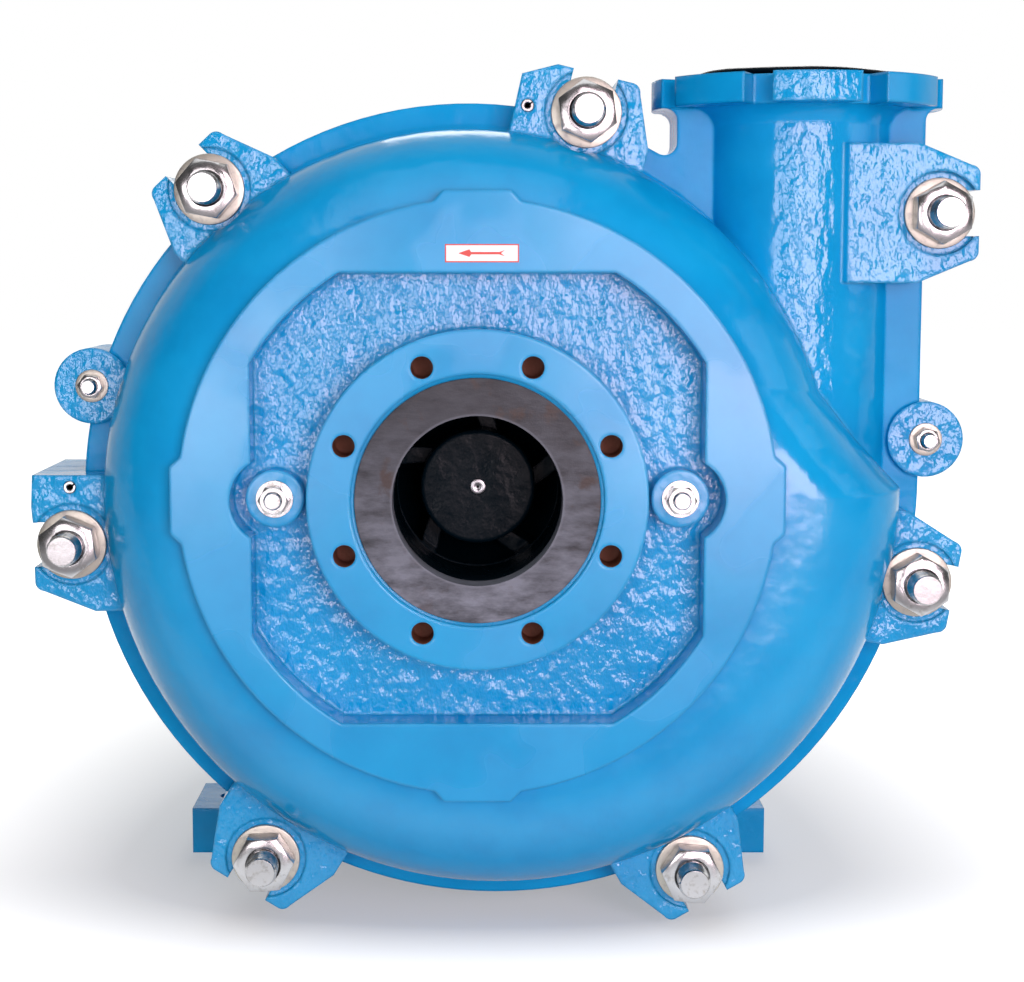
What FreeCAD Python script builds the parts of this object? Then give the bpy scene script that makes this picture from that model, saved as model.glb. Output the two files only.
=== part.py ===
import FreeCAD, Part
import math
import os
import re
import Sketcher

# Horizontal rubber-lined slurry pump on a heavy bearing frame, in millimetres.
# The shaft lies along Y. The suction flange face is at Y = 0 and looks along -Y, the
# drive end of the shaft is at the back, +Z is up, and +X is to the right seen from the
# suction side. The origin is the centre of the suction flange face.

Vector = FreeCAD.Vector
Rotation = FreeCAD.Rotation
Placement = FreeCAD.Placement

# ---------------------------------------------------------------- driving dimensions

CASING_SIZES = {
    # spiral outline of the casing joint: three tangent arcs, growing anticlockwise
    "arc_x": -9,            # centre of the first arc
    "arc_z": -8.5,
    "arc_r": 368,           # radius of the first arc
    "grow_left": 26.5,      # growth of the radius where the first arc meets the second
    "grow_base": 10,        # growth of the radius where the second arc meets the third
    # the joint between the two casing halves
    "joint_y": 190,
    "rim_front": 150,
    "rim_back": 230,
    "rim_strip": 20,
    "rim_root": 6,          # fillet between the rim and the rounded casing wall
    # the rounded casing halves
    "front_flat": 14,
    "front_round": 100,
    "back_flat": 316,
    "back_round": 76,
    # the space for the rubber liners
    "liner_gap": 46,        # from the rim's edge to the liner
    "front_floor": 62,
    "front_floor_deep": 44,
    "front_floor_r": 50,
    "back_floor": 290,
    "back_floor_deep": 291,
    "back_floor_r": 50,
    "floor_step": 262,
    # the water passage inside the liners
    "water_gap": 66,
    "front_water": 121.5,
    "front_water_deep": 84,
    "back_water": 248,
    "back_water_deep": 262,
    "water_step": 224,
    "water_r": 38,
    # discharge neck, tangent to the third arc
    "neck_half": 117,
    "neck_r": 91,
    "neck_top_front": 189,
    "neck_top_back": 191,
    "neck_foot": -80,
    "shoulder_mid": 45,     # the spiral's end draws in beside the neck up to these heights
    "shoulder_mid_in": 41,
    "shoulder_top": 120,
    "shoulder_top_in": 100,
    "neck_root": 12,        # fillets beside the neck's rim
    "cove_rise": 24,        # hollow curve under the discharge flange
    "cove_reach": 15,
    "neck_cavity_r": 70,
    "neck_bore_r": 50,
    "neck_top": 355,
    "outlet_r": 138,
    "outlet_top": 382,
    "outlet_slot": 26,
    "outlet_slot_r": 108,
    "lip_r": 98,
    "lip_thick": 7,
    # machined front of the cover plate
    "ring_r": 267,
    "ring_y": 3,
    "tab_r": 274,
    "tab_half": 30,
    "tab_foot": 39,
    "recess_half": 202,
    "recess_r": 236,
    "recess_y": 42,
    "suction_r": 152.5,
    "suction_bore": 76,
    "suction_pcd": 257,
    "suction_hole": 10,
    "suction_hole_deep": 38,
    "intake_r": 109.5,
    "intake_groove": 113.25,
    "intake_groove_deep": 3,
    "intake_deep": 30,
    "throat_r": 165,
    # the pair of studs beside the suction flange that hold the liner
    "side_stud_x": 182,
    "side_boss_r": 26,
    "side_boss_y": 20,
    "side_bulge_r": 39,
    "side_stud_r": 8,
    # slotted lugs round the joint
    "lug_front": 105,
    "lug_back": 262,
    "lug_tip": 36,
    "lug_jaw": 21,
    "lug_corner": 36,
    "lug_shoulder": 44,
    "lug_side": 64,
    "lug_foot": 20,
    "lug_round": 9,
    "lug_bevel": 12,
    "spot_r": 38.5,
    "spot_deep": 3,
    # two small ears on the rim
    "ear_r": 36,
    "ear_front": 143,
    "ear_back": 237,
    "ear_hole": 8,
    "pin_r": 6,
    "pin_face": 1,
    "pin_deep": 60,
}

# Lugs: bolt X, bolt Z, way the slot opens (degrees from +X towards +Z), how far the lug
# reaches inwards, the side (+1 anticlockwise, -1 clockwise) made square for a pin, and how
# far its front face stands forward of the others.
LUGS = [
    (-248, 278, 133, 72, 0, 0),
    (100, 348, 76, 72, 1, 0),
    (427, 256, 0, 97, 0, 5),
    (414, -89, -10, 72, 0, 0),
    (203, -367, -60, 80, 0, 0),
    (-203, -356, -122, 80, 0, 0),
    (-382, -53, 181, 72, -1, 0),
]

EARS = [(-367, 94), (427, 43)]

SEAL_SIZES = {
    "box_seat_r": 112,      # counterbore in the frame plate
    "box_seat_y": 318,
    "box_body_r": 86,
    "plate_back": 345,
    "plate_hub_r": 205,
    "insert_r": 150,
    "insert_bore": 60,
    "sleeve_r": 45,
    "throat_gap": 1.5,
    "box_bore": 61,
    "box_floor": 306,
    "lantern_end": 324,
    "ring_wide": 16,
    "packing_end": 388,
    "box_end": 402,
    "box_tail_r": 76,
    "box_ear_x": 98,
    "box_ear_r": 20,
    "box_ear_y": 384,
    "packing_gap": 0.3,
    "follower_nose_r": 60.5,
    "follower_bore": 46.5,
    "follower_face": 407,
    "follower_end": 423,
    "follower_r": 74,
    "gland_stud_r": 8,
    "gland_hole": 9.5,
    "gland_stud_end": 444,
}

ROTOR_SIZES = {
    "impeller_r": 190,
    "vane_face_front": 124,
    "shroud_front": 132,
    "channel_front": 146,
    "channel_back": 222,
    "shroud_back": 238,
    "vane_face_back": 245,
    "nose_r": 54,
    "nose_y": 120,
    "hub_r": 58,
    "hub_back": 250,
    "thread_r": 32,
    "boss_r": 46,
    "thread_y": 150,
    "vane_thick": 16,
    "sleeve_seat_r": 36,
    "sleeve_end": 436,
    "spacer_r": 50,
    "spacer_end": 452,
    "collar_seat_r": 45,
    "collar_r": 70,
    "race_seat_r": 50,
    "race_y": 500,
    "race_wide": 60,
    "drive_race_y": 790,
    "waist_r": 58,
    "inner_race_r": 62,
    "outer_race_in": 82,
    "outer_race_r": 95,
    "roller_r": 9.6,
    "roller_pitch_r": 72,
    "roller_end_gap": 8,
    "cage_in": 66,
    "cage_out": 78,
    "cage_end_gap": 4,
    "cage_pocket_r": 10,
    "locknut_y": 850,
    "locknut_r": 66,
    "locknut_end": 866,
    "drive_collar_end": 908,
    "shaft_end_r": 40,
    "shaft_step_y": 1058,
    "shaft_end": 1178,
    "key_wide": 22,
    "key_low": 31,
    "key_top": 45,
    "key_start": 1064,
    "key_end": 1166,
}

BEARING_SIZES = {
    "housing_r": 132,
    "housing_front": 474,
    "housing_back": 876,
    "cover_r": 138,
    "cover_thick": 18,
    "shim_thick": 1.5,
    "shim_in": 100,
    "cover_bore": 70.5,
    "cover_pcd": 228,
    "screw_r": 6,
    "screw_head_r": 10,
    "screw_head": 8,
    "screw_deep": 24,
    "pad_half": 182,
    "pad_low": -19.8,
    "pad_top": 8,
    "pad_wide": 70,
    "front_pad_y": 500,
    "back_pad_y": 780,
    "clamp_x": 157,
    "clamp_hole": 13.5,
    "clamp_r": 10,
    "clamp_washer_r": 21,
    "clamp_washer": 6,
    "clamp_low": -75,
    "screw_lug_y": 742,
    "screw_lug_thick": 28,
    "screw_lug_half": 26,
    "adjuster_z": -158,
    "adjuster_r": 12,
    "adjuster_start": 624,
    "adjuster_hole": 14,
    "nipple_z": 132,
}

FRAME_SIZES = {
    "base_front": 345,
    "base_ring_back": 375,
    "base_ring_r": 205,
    "base_ring_bore": 124,
    "base_back": 948,
    "floor_z": -429,
    "foot_top": -380,
    "foot_half": 311,
    "foot_front": 372,
    "foot_deep": 110,
    "rear_foot_y": 838,
    "foot_x": 273,
    "foot_hole": 14,
    "foot_relief": 12,
    "foot_relief_half": 205,
    "web_out": 192,
    "web_thick": 40,
    "web_top": -96,
    "deck_thick": 36,
    "saddle_top": -20,
    "saddle_in": 134,
    "nose_web_half": 150,
    "frame_pcd": 326,
    "frame_stud_r": 12,
    "frame_stud_end": 410,
    "frame_stud_deep": 36,
    "adjuster_lug_y": 668,
    "adjuster_lug_thick": 30,
}

FASTENER_SIZES = {
    "stud_r": 15,
    "stud_front": 55,
    "stud_back": 300,
    "nut_flats": 50,
    "nut_thick": 24,
    "washer_r": 32.5,
    "washer_thick": 5,
    "ear_bolt_r": 7,
    "ear_nut_flats": 21,
    "ear_nut_thick": 11,
    "ear_washer_r": 15.5,
    "ear_washer": 2.5,
    "ear_bolt_front": 120,
    "side_nut_flats": 24,
    "side_nut_thick": 15,
    "side_flange_r": 16.75,
    "side_flange": 3,
    "side_stud_front": -3,
    "side_stud_back": 86,
    "frame_nut_flats": 36,
    "frame_nut_thick": 19,
    "clamp_nut_flats": 30,
    "clamp_nut_thick": 16,
    "gland_nut_flats": 24,
    "gland_nut_thick": 13,
    "adjuster_nut_flats": 36,
    "adjuster_nut_thick": 18,
    "thread_chamfer": 1.5,
}

document = FreeCAD.newDocument("slurry_pump")
sheet = document.addObject("Spreadsheet::Sheet", "dims")
ALIASES = set()


def fill_sheet():
    """Write every driving dimension into the spreadsheet, one named cell each."""
    sizes = {}
    for group in (CASING_SIZES, SEAL_SIZES, ROTOR_SIZES, BEARING_SIZES, FRAME_SIZES, FASTENER_SIZES):
        sizes.update(group)
    for number, (bolt_x, bolt_z, opens, reach, _, rise) in enumerate(LUGS, 1):
        sizes.update({f"lug{number}_bolt_x": bolt_x, f"lug{number}_bolt_z": bolt_z})
        sizes.update({f"lug{number}_opens": opens, f"lug{number}_reach": reach})
        sizes.update({f"lug{number}_rise": rise})
    for number, (bolt_x, bolt_z) in enumerate(EARS, 1):
        sizes.update({f"ear{number}_bolt_x": bolt_x, f"ear{number}_bolt_z": bolt_z})
    for row, (alias, number) in enumerate(sizes.items(), 1):
        sheet.set(f"A{row}", alias)
        sheet.set(f"B{row}", str(number))
        sheet.setAlias(f"B{row}", alias)
        ALIASES.add(alias)
    document.recompute()


def bound(text):
    """An expression with the spreadsheet named before each of its cells."""
    def cell(match):
        return "dims." + match.group() if match.group() in ALIASES else match.group()
    return re.sub(r"[a-z_][a-z0-9_]*", cell, str(text))


def value(text):
    return float(sheet.evalExpression(bound(text)))


def bind(thing, **properties):
    """Bind properties to expressions; a double underscore stands for the dot in a path."""
    for path, text in properties.items():
        thing.setExpression(path.replace("__", "."), bound(text))
    return thing


def put(thing, x=0, y=0, z=0, rotation=Rotation()):
    thing.Placement = Placement(Vector(value(x), value(y), value(z)), rotation)
    bind(thing, Placement__Base__x=x, Placement__Base__y=y, Placement__Base__z=z)
    return thing


# ------------------------------------------------------------------ outlines

ALONG_Y = Rotation(Vector(1, 0, 0), -90)    # turns +Z to +Y
UPRIGHT = Rotation(Vector(1, 0, 0), 90)     # stands a sketch up in the XZ plane


def arc_between(start, end, radius, turn):
    """The short arc from start to end; turn is +1 anticlockwise, -1 clockwise."""
    chord = end - start
    half = chord.Length / 2
    rise = math.sqrt(max(radius * radius - half * half, 0))
    side = Vector(-chord.y, chord.x, 0).normalize()
    centre = start + chord / 2 + side * rise * turn
    first, last = (start, end) if turn > 0 else (end, start)
    angles = [math.atan2(point.y - centre.y, point.x - centre.x) for point in (first, last)]
    circle = Part.Circle(centre, Vector(0, 0, 1), radius)
    return Part.ArcOfCircle(circle, angles[0], angles[1])


def draw(sketch, corners):
    """Draw a closed outline whose corners are bound to the sheet.

    A corner is (x, y), reached by a line, or (x, y, radius, turn), reached by an arc.
    """
    points = [Vector(value(corner[0]), value(corner[1]), 0) for corner in corners]
    edges = []
    for number, corner in enumerate(corners):
        start, end = points[number - 1], points[number]
        if len(corner) == 2:
            edge = sketch.addGeometry(Part.LineSegment(start, end), False)
            edges.append((edge, 1, 2))
            continue
        edge = sketch.addGeometry(arc_between(start, end, value(corner[2]), corner[3]), False)
        edges.append((edge, 1, 2) if corner[3] > 0 else (edge, 2, 1))
    for number, corner in enumerate(corners):
        edge, _, last = edges[number]
        following, first, _ = edges[(number + 1) % len(edges)]
        sketch.addConstraint(Sketcher.Constraint("Coincident", edge, last, following, first))
        for kind, text, place in zip(("DistanceX", "DistanceY"), corner, (points[number].x, points[number].y)):
            item = sketch.addConstraint(Sketcher.Constraint(kind, -1, 1, edge, last, place))
            sketch.setExpression(f"Constraints[{item}]", bound(text))
        if len(corner) > 2:
            item = sketch.addConstraint(Sketcher.Constraint("Radius", edge, value(corner[2])))
            sketch.setExpression(f"Constraints[{item}]", bound(corner[2]))
    return sketch


def free_sketch(name, corners):
    return draw(document.addObject("Sketcher::SketchObject", name), corners)


def plane_of(body, role):
    return [feature for feature in body.Origin.OriginFeatures if feature.Role == role][0]


# ------------------------------------------------------------------ solids


def turned(label, corners):
    """A body turned about the shaft axis from an outline of (radius, y) corners."""
    body = document.addObject("PartDesign::Body", label)
    sketch = body.newObject("Sketcher::SketchObject", label + "_profile")
    sketch.AttachmentSupport = (plane_of(body, "XY_Plane"), [""])
    sketch.MapMode = "FlatFace"
    draw(sketch, corners)
    turning = body.newObject("PartDesign::Revolution", label + "_turning")
    turning.Profile = sketch
    turning.ReferenceAxis = (sketch, ["V_Axis"])
    turning.Angle = 360
    return body


def ring(label, inner, outer, start, end):
    return turned(label, [(inner, start), (outer, start), (outer, end), (inner, end)])


def slab(name, corners, start, end, x=0, z=0, turn=0):
    """An outline in the XZ plane, turned about its own origin and drawn out along Y."""
    sketch = free_sketch(name + "_outline", corners)
    put(sketch, x, start, z, Rotation(Vector(0, 1, 0), -turn).multiply(UPRIGHT))
    solid = document.addObject("Part::Extrusion", name)
    solid.Base = sketch
    solid.DirMode = "Custom"
    solid.Dir = Vector(0, 1, 0)
    solid.Solid = True
    return bind(solid, LengthFwd=f"({end}) - ({start})")


def column(name, corners, low, high):
    """An outline in the XY plane, drawn out along Z."""
    sketch = put(free_sketch(name + "_outline", corners), z=low)
    solid = document.addObject("Part::Extrusion", name)
    solid.Base = sketch
    solid.DirMode = "Custom"
    solid.Dir = Vector(0, 0, 1)
    solid.Solid = True
    return bind(solid, LengthFwd=f"({high}) - ({low})")


def rod(name, radius, start, end, x=0, z=0):
    """A cylinder along Y."""
    solid = document.addObject("Part::Cylinder", name)
    bind(solid, Radius=radius, Height=f"({end}) - ({start})")
    return put(solid, x, start, z, ALONG_Y)


def post(name, radius, low, high, x=0, y=0):
    """A cylinder along Z."""
    solid = document.addObject("Part::Cylinder", name)
    bind(solid, Radius=radius, Height=f"({high}) - ({low})")
    return put(solid, x, y, low)


def block(name, x, y, z):
    """A box from three pairs of limits."""
    solid = document.addObject("Part::Box", name)
    bind(solid, Length=f"({x[1]}) - ({x[0]})", Width=f"({y[1]}) - ({y[0]})")
    bind(solid, Height=f"({z[1]}) - ({z[0]})")
    return put(solid, x[0], y[0], z[0])


def fuse(name, shapes):
    solid = document.addObject("Part::MultiFuse", name)
    solid.Shapes = shapes
    return solid


def common(name, shapes):
    solid = document.addObject("Part::MultiCommon", name)
    solid.Shapes = shapes
    return solid


def cut(name, base, tools):
    """The base less all the tools."""
    solid = document.addObject("Part::Cut", name)
    solid.Base = base
    solid.Tool = tools[0] if len(tools) == 1 else fuse(name + "_tools", tools)
    return solid


def copies(label, master, places):
    """One node of equal solids: the master linked to each place (x, y, z, rotation)."""
    links = []
    for number, (x, y, z, rotation) in enumerate(places, 1):
        link = document.addObject("App::Link", f"{label}_{number}")
        link.LinkedObject = master
        links.append(put(link, x, y, z, rotation))
    group = document.addObject("Part::Compound", label)
    group.Links = links
    return group


# ------------------------------------------------------------------ fasteners


def nut(name, flats, thick, bore):
    """A hexagon nut from Z = 0 upwards, its corners eased at both ends."""
    hexagon = document.addObject("Part::Prism", name + "_hexagon")
    hexagon.Polygon = 6
    bind(hexagon, Circumradius=f"{flats} / sqrt(3)", Height=thick)
    corner, flat, ease = f"{flats} / sqrt(3)", f"{flats} * 0.48", f"{flats} * 0.06"
    envelope = document.addObject("PartDesign::Body", name + "_envelope")
    sketch = envelope.newObject("Sketcher::SketchObject", name + "_profile")
    sketch.AttachmentSupport = (plane_of(envelope, "XZ_Plane"), [""])
    sketch.MapMode = "FlatFace"
    draw(sketch, [
        (bore, "0"), (flat, "0"), (corner, ease), (corner, f"{thick} - {ease}"),
        (flat, thick), (bore, thick),
    ])
    turning = envelope.newObject("PartDesign::Revolution", name + "_turning")
    turning.Profile = sketch
    turning.ReferenceAxis = (sketch, ["V_Axis"])
    turning.Angle = 360
    return common(name, [hexagon, envelope])


def washer(name, inner, outer, thick):
    """A flat washer from Z = 0 upwards."""
    disc = document.addObject("Part::Cylinder", name + "_disc")
    hole = document.addObject("Part::Cylinder", name + "_hole")
    bind(disc, Radius=outer, Height=thick)
    bind(hole, Radius=inner, Height=thick)
    return cut(name, disc, [hole])


def stud(name, radius, length):
    """A plain stud from Z = 0 upwards with both ends chamfered."""
    shank = document.addObject("PartDesign::Body", name)
    sketch = shank.newObject("Sketcher::SketchObject", name + "_profile")
    sketch.AttachmentSupport = (plane_of(shank, "XZ_Plane"), [""])
    sketch.MapMode = "FlatFace"
    inner = f"{radius} - thread_chamfer"
    draw(sketch, [
        ("0", "0"), (inner, "0"), (radius, "thread_chamfer"),
        (radius, f"{length} - thread_chamfer"), (inner, length), ("0", length),
    ])
    turning = shank.newObject("PartDesign::Revolution", name + "_turning")
    turning.Profile = sketch
    turning.ReferenceAxis = (sketch, ["V_Axis"])
    turning.Angle = 360
    return shank


# ------------------------------------------------------------------ casing

ARC_CENTRES = {
    # sector: centre x, centre z, radius, first angle, angle swept
    "crown": ("arc_x", "arc_z", "arc_r", 0, 180),
    "flank": ("arc_x + grow_left", "arc_z", "arc_r + grow_left", 180, 90),
    "belly": ("arc_x + grow_left", "arc_z + grow_base", "arc_r + grow_left + grow_base", 270, 90),
}
RIM_RIGHT = "arc_x + arc_r + 2 * grow_left + grow_base"
NECK_X = f"({RIM_RIGHT} - neck_half)"
SHAFT_SEAT = "joint_y"


def spiral(name, outline):
    """A solid turned in three sectors about the spiral's three centres.

    outline(radius) gives (radius, y) corners for a sector whose rim has that radius.
    """
    sectors = []
    for sector, (centre_x, centre_z, radius, first, sweep) in ARC_CENTRES.items():
        sketch = free_sketch(f"{name}_{sector}_profile", outline(radius))
        put(sketch, centre_x, 0, centre_z, Rotation(Vector(0, 1, 0), -(first + sweep)))
        turning = document.addObject("Part::Revolution", f"{name}_{sector}")
        turning.Source = sketch
        turning.Axis = Vector(0, 1, 0)
        turning.Base = Vector(value(centre_x), 0, value(centre_z))
        bind(turning, Base__x=centre_x, Base__z=centre_z)
        turning.Angle = sweep
        turning.Solid = True
        sectors.append(turning)
    return fuse(name, sectors)


def wall_outline(radius, rim, flat, rounding, way):
    """Rim, root fillet, wall and rounded shoulder of one casing half; way is -1 at the front."""
    edge = f"{radius} - rim_strip"
    wall = f"{edge} - rim_root"
    turn = 1 if way < 0 else -1
    return [
        ("0", "joint_y"), (radius, "joint_y"), (radius, rim), (edge, rim),
        (wall, f"{rim} + {way} * rim_root", "rim_root", turn),
        (wall, f"{flat} - {way} * {rounding}"),
        (f"{wall} - {rounding}", flat, rounding, -turn),
        ("0", flat),
    ]


def chamber_outline(radius, gap, floor, step, rounding, way):
    """A chamber inside one casing half, deeper round its edge, with a rounded corner."""
    wall = f"{radius} - {gap}"
    deep = f"{floor}_deep"
    turn = -1 if way < 0 else 1
    return [
        ("0", "joint_y"), (wall, "joint_y"), (wall, f"{deep} - {way} * {rounding}"),
        (f"{wall} - {rounding}", deep, rounding, turn), (step, deep),
        (f"{step} - 14", floor), ("0", floor),
    ]


def neck_wall(name, flat, rounding, top_y, way):
    """Round wall of the discharge neck, and the shoulder in which the spiral dies out beside it.

    The shoulder starts as the end profile of the spiral and draws inwards as it rises, until
    it has sunk into the crown of the casing.
    """
    left, right = f"{NECK_X} - neck_r", f"{NECK_X} + neck_r"
    turn = -1 if way < 0 else 1
    neck = column(name, [
        (left, "joint_y"), (right, "joint_y"), (right, top_y),
        (NECK_X, f"{top_y} + {way} * neck_r", "neck_r", turn), (left, top_y, "neck_r", turn),
    ], "neck_foot", "neck_top")
    inner = f"({RIM_RIGHT} - 2 * neck_half)"
    sections = []
    for number, (drawn_in, height) in enumerate((
            ("0", "arc_z + grow_base"), ("shoulder_mid_in", "shoulder_mid"),
            ("shoulder_top_in", "shoulder_top")), 1):
        edge = f"({right} - {drawn_in})"
        sections.append(put(free_sketch(f"{name}_shoulder_{number}", [
            (inner, "joint_y"), (edge, "joint_y"), (edge, f"{flat} - {way} * {rounding}"),
            (f"{edge} - {rounding}", flat, rounding, turn), (inner, flat),
        ]), z=height))
    shoulder = document.addObject("Part::Loft", name + "_shoulder")
    shoulder.Sections = sections
    shoulder.Solid = True
    shoulder.Ruled = True
    return [neck, shoulder]


def lug_outline(number, square):
    """Outline of one lug about its bolt, its slot opening along +X of the sketch."""
    reach = f"lug{number}_reach"
    high = [("lug_tip", "lug_corner"), ("lug_tip - 8", "lug_shoulder", "lug_round", 1),
            ("-lug_foot", "lug_side")]
    low = [("-lug_foot", "-lug_side"), ("lug_tip - 8", "-lug_shoulder"),
           ("lug_tip", "-lug_corner", "lug_round", 1)]
    if square > 0:
        high = [("lug_tip", "lug_corner"), ("lug_tip - 16", "lug_side + 2")]
    if square < 0:
        low = [("lug_tip - 1", "-lug_side - 2"), ("lug_tip + 1", "-lug_corner")]
    return [
        (f"-{reach}", "-lug_side"), *low, ("lug_tip", "-lug_jaw"),
        ("0", "-lug_jaw"), ("-lug_jaw", "0", "lug_jaw", -1), ("0", "lug_jaw", "lug_jaw", -1),
        ("lug_tip", "lug_jaw"),
        *high, (f"-{reach}", "lug_side"),
    ]


def lugs(prefix, face, way):
    """The slotted lugs of one casing half; one that stands forward has its inner end bevelled."""
    made = []
    for number, (_, _, opens, _, square, rise) in enumerate(LUGS, 1):
        x, z = f"lug{number}_bolt_x", f"lug{number}_bolt_z"
        start, end = (f"{face} - lug{number}_rise", "joint_y") if way < 0 else ("joint_y", face)
        lug = slab(f"{prefix}_lug_{number}", lug_outline(number, square), start, end, x, z, opens)
        if rise and way < 0:
            inner = f"{x} - lug{number}_reach"
            bevel = column(f"{prefix}_lug_bevel_{number}", [
                (f"{inner} - 1", f"{start} - 1"), (f"{inner} + lug_bevel", f"{start} - 1"),
                (f"{inner} + lug_bevel", start), (inner, f"{start} + lug_bevel"),
                (f"{inner} - 1", f"{start} + lug_bevel"),
            ], f"{z} - lug_side - 1", f"{z} + lug_side + 1")
            lug = cut(f"{prefix}_lug_{number}_eased", lug, [bevel])
        made.append(lug)
    return made


def slots(prefix, start, end):
    """The slots again as tools, so that no wall behind a lug fills them."""
    made = []
    outline = [
        ("lug_tip * 2", "-lug_jaw"), ("lug_tip * 2", "lug_jaw"), ("0", "lug_jaw"),
        ("-lug_jaw", "0", "lug_jaw", 1), ("0", "-lug_jaw", "lug_jaw", 1),
    ]
    for number, (_, _, opens, *_) in enumerate(LUGS, 1):
        x, z = f"lug{number}_bolt_x", f"lug{number}_bolt_z"
        made.append(slab(f"{prefix}_slot_{number}", outline, start, end, x, z, opens))
    return made


def ears(prefix, start, end):
    return [
        rod(f"{prefix}_ear_{number}", "ear_r", start, end, f"ear{number}_bolt_x", f"ear{number}_bolt_z")
        for number in (1, 2)
    ]


def ear_holes(prefix):
    return [
        rod(f"{prefix}_ear_hole_{number}", "ear_hole", "ear_front", "ear_back",
            f"ear{number}_bolt_x", f"ear{number}_bolt_z")
        for number in (1, 2)
    ]


def pin_places():
    """Centres of the two roll pins, beside the bolts of the squared lugs."""
    places = []
    for number, (_, _, opens, _, square, _) in enumerate(LUGS, 1):
        if not square:
            continue
        angle = math.radians(opens)
        back, aside = -7 if square > 0 else 0, 54 * square
        shift_x = back * math.cos(angle) - aside * math.sin(angle)
        shift_z = back * math.sin(angle) + aside * math.cos(angle)
        places.append((f"lug{number}_bolt_x + {shift_x:.3f}", f"lug{number}_bolt_z + {shift_z:.3f}"))
    return places


def outlet_flange(prefix, way):
    """Half of the discharge flange with its open-sided bolt slots; way is -1 at the front."""
    turn = 1 if way < 0 else -1
    half = column(f"{prefix}_outlet_half", [
        (f"{NECK_X} - outlet_r", "joint_y"),
        (f"{NECK_X}", f"joint_y + {way} * outlet_r", "outlet_r", turn),
        (f"{NECK_X} + outlet_r", "joint_y", "outlet_r", turn),
    ], "neck_top", "outlet_top")
    tools = []
    for number in range(4):
        angle = 22.5 + 45 * number
        slot = document.addObject("Part::Box", f"{prefix}_outlet_slot_{number + 1}")
        bind(slot, Length="outlet_r", Width="outlet_slot", Height="outlet_top - neck_top")
        turned_by = Rotation(Vector(0, 0, 1), angle * way)
        corner = turned_by.multVec(Vector(value("outlet_slot_r"), -value("outlet_slot") / 2, 0))
        put(slot, f"{NECK_X} + {corner.x:.4f}", f"joint_y + {corner.y:.4f}", "neck_top", turned_by)
        tools.append(slot)
    return cut(f"{prefix}_outlet", half, tools)


def outlet_cove(prefix, way):
    """Half of the hollow curve that carries the discharge flange on its neck."""
    curve = "cove_rise"
    cove = turned_upright(f"{prefix}_cove_ring", [
        ("0", "neck_top - cove_rise"), ("neck_r", "neck_top - cove_rise"),
        ("neck_r + cove_reach", "neck_top", curve, -1), ("0", "neck_top"),
    ])
    put(cove, NECK_X, "joint_y")
    depth = ("joint_y - outlet_r", "joint_y") if way < 0 else ("joint_y", "joint_y + outlet_r")
    half = block(f"{prefix}_cove_half", (f"{NECK_X} - outlet_r", f"{NECK_X} + outlet_r"), depth,
                 ("neck_top - cove_rise", "neck_top"))
    return common(f"{prefix}_cove", [cove, half])


def neck_rim(prefix, start, end):
    """The rim's straight part beside the neck, with its fillets above and below."""
    left = f"({RIM_RIGHT} - 2 * neck_half)"
    low, high = "arc_z + grow_base", "neck_top - neck_root"
    rim = slab(f"{prefix}_neck_rim", [
        (left, low), (RIM_RIGHT, low), (RIM_RIGHT, high),
        (f"{RIM_RIGHT} + neck_root", "neck_top", "neck_root", -1),
        (f"{left} - neck_root", "neck_top"), (left, high, "neck_root", -1),
    ], start, end)
    centre_x = f"({left} - neck_root)"
    away = f"({centre_x} - arc_x)"
    rise = f"sqrt((arc_r + neck_root) ^ 2 - {away} ^ 2)"
    share = "(arc_r / (arc_r + neck_root))"
    root = slab(f"{prefix}_neck_root", [
        (left, f"arc_z + {rise} - 30"), (left, f"arc_z + {rise}"),
        (f"arc_x + {away} * {share}", f"arc_z + {rise} * {share}", "neck_root", -1),
        (f"arc_x + {away} * {share}", f"arc_z + {rise} - 30"),
    ], start, end)
    return [rim, root]


def casing_half(prefix, rim, flat, rounding, way, neck_top_y, lug_face):
    """Rim, rounded wall, neck, discharge flange and lugs of one casing half, still solid."""
    start, end = (rim, "joint_y") if way < 0 else ("joint_y", rim)
    ear_start, ear_end = ("ear_front", "joint_y") if way < 0 else ("joint_y", "ear_back")
    wall = spiral(f"{prefix}_wall", lambda radius: wall_outline(radius, rim, flat, rounding, way))
    neck = neck_wall(f"{prefix}_neck", flat, rounding, neck_top_y, way)
    return [
        wall, *neck_rim(prefix, start, end), *neck, outlet_cove(prefix, way), outlet_flange(prefix, way),
        *lugs(prefix, lug_face, way), *ears(prefix, ear_start, ear_end),
    ]


def liner_space(name, floor, rounding, way):
    """The space a rubber liner fills in one casing half."""
    chamber = spiral(
        f"{name}_chamber",
        lambda radius: chamber_outline(radius, "liner_gap", floor, "floor_step", rounding, way))
    neck = post(f"{name}_neck_space", "neck_cavity_r", "0", "outlet_top", NECK_X, "joint_y")
    half = block(f"{name}_half", ("0", "600"),
                 ("joint_y - 200", "joint_y") if way < 0 else ("joint_y", "joint_y + 200"),
                 ("0", "outlet_top"))
    return fuse(name, [chamber, common(f"{name}_neck", [neck, half])])


def water_space(name, floor, way):
    """The water passage in one casing half: impeller chamber, spiral and neck bore."""
    chamber = spiral(
        f"{name}_chamber",
        lambda radius: chamber_outline(radius, "water_gap", floor, "water_step", "water_r", way))
    neck = post(f"{name}_neck_bore", "neck_bore_r", "-20", "outlet_top", NECK_X, "joint_y")
    return fuse(name, [chamber, neck])


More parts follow.
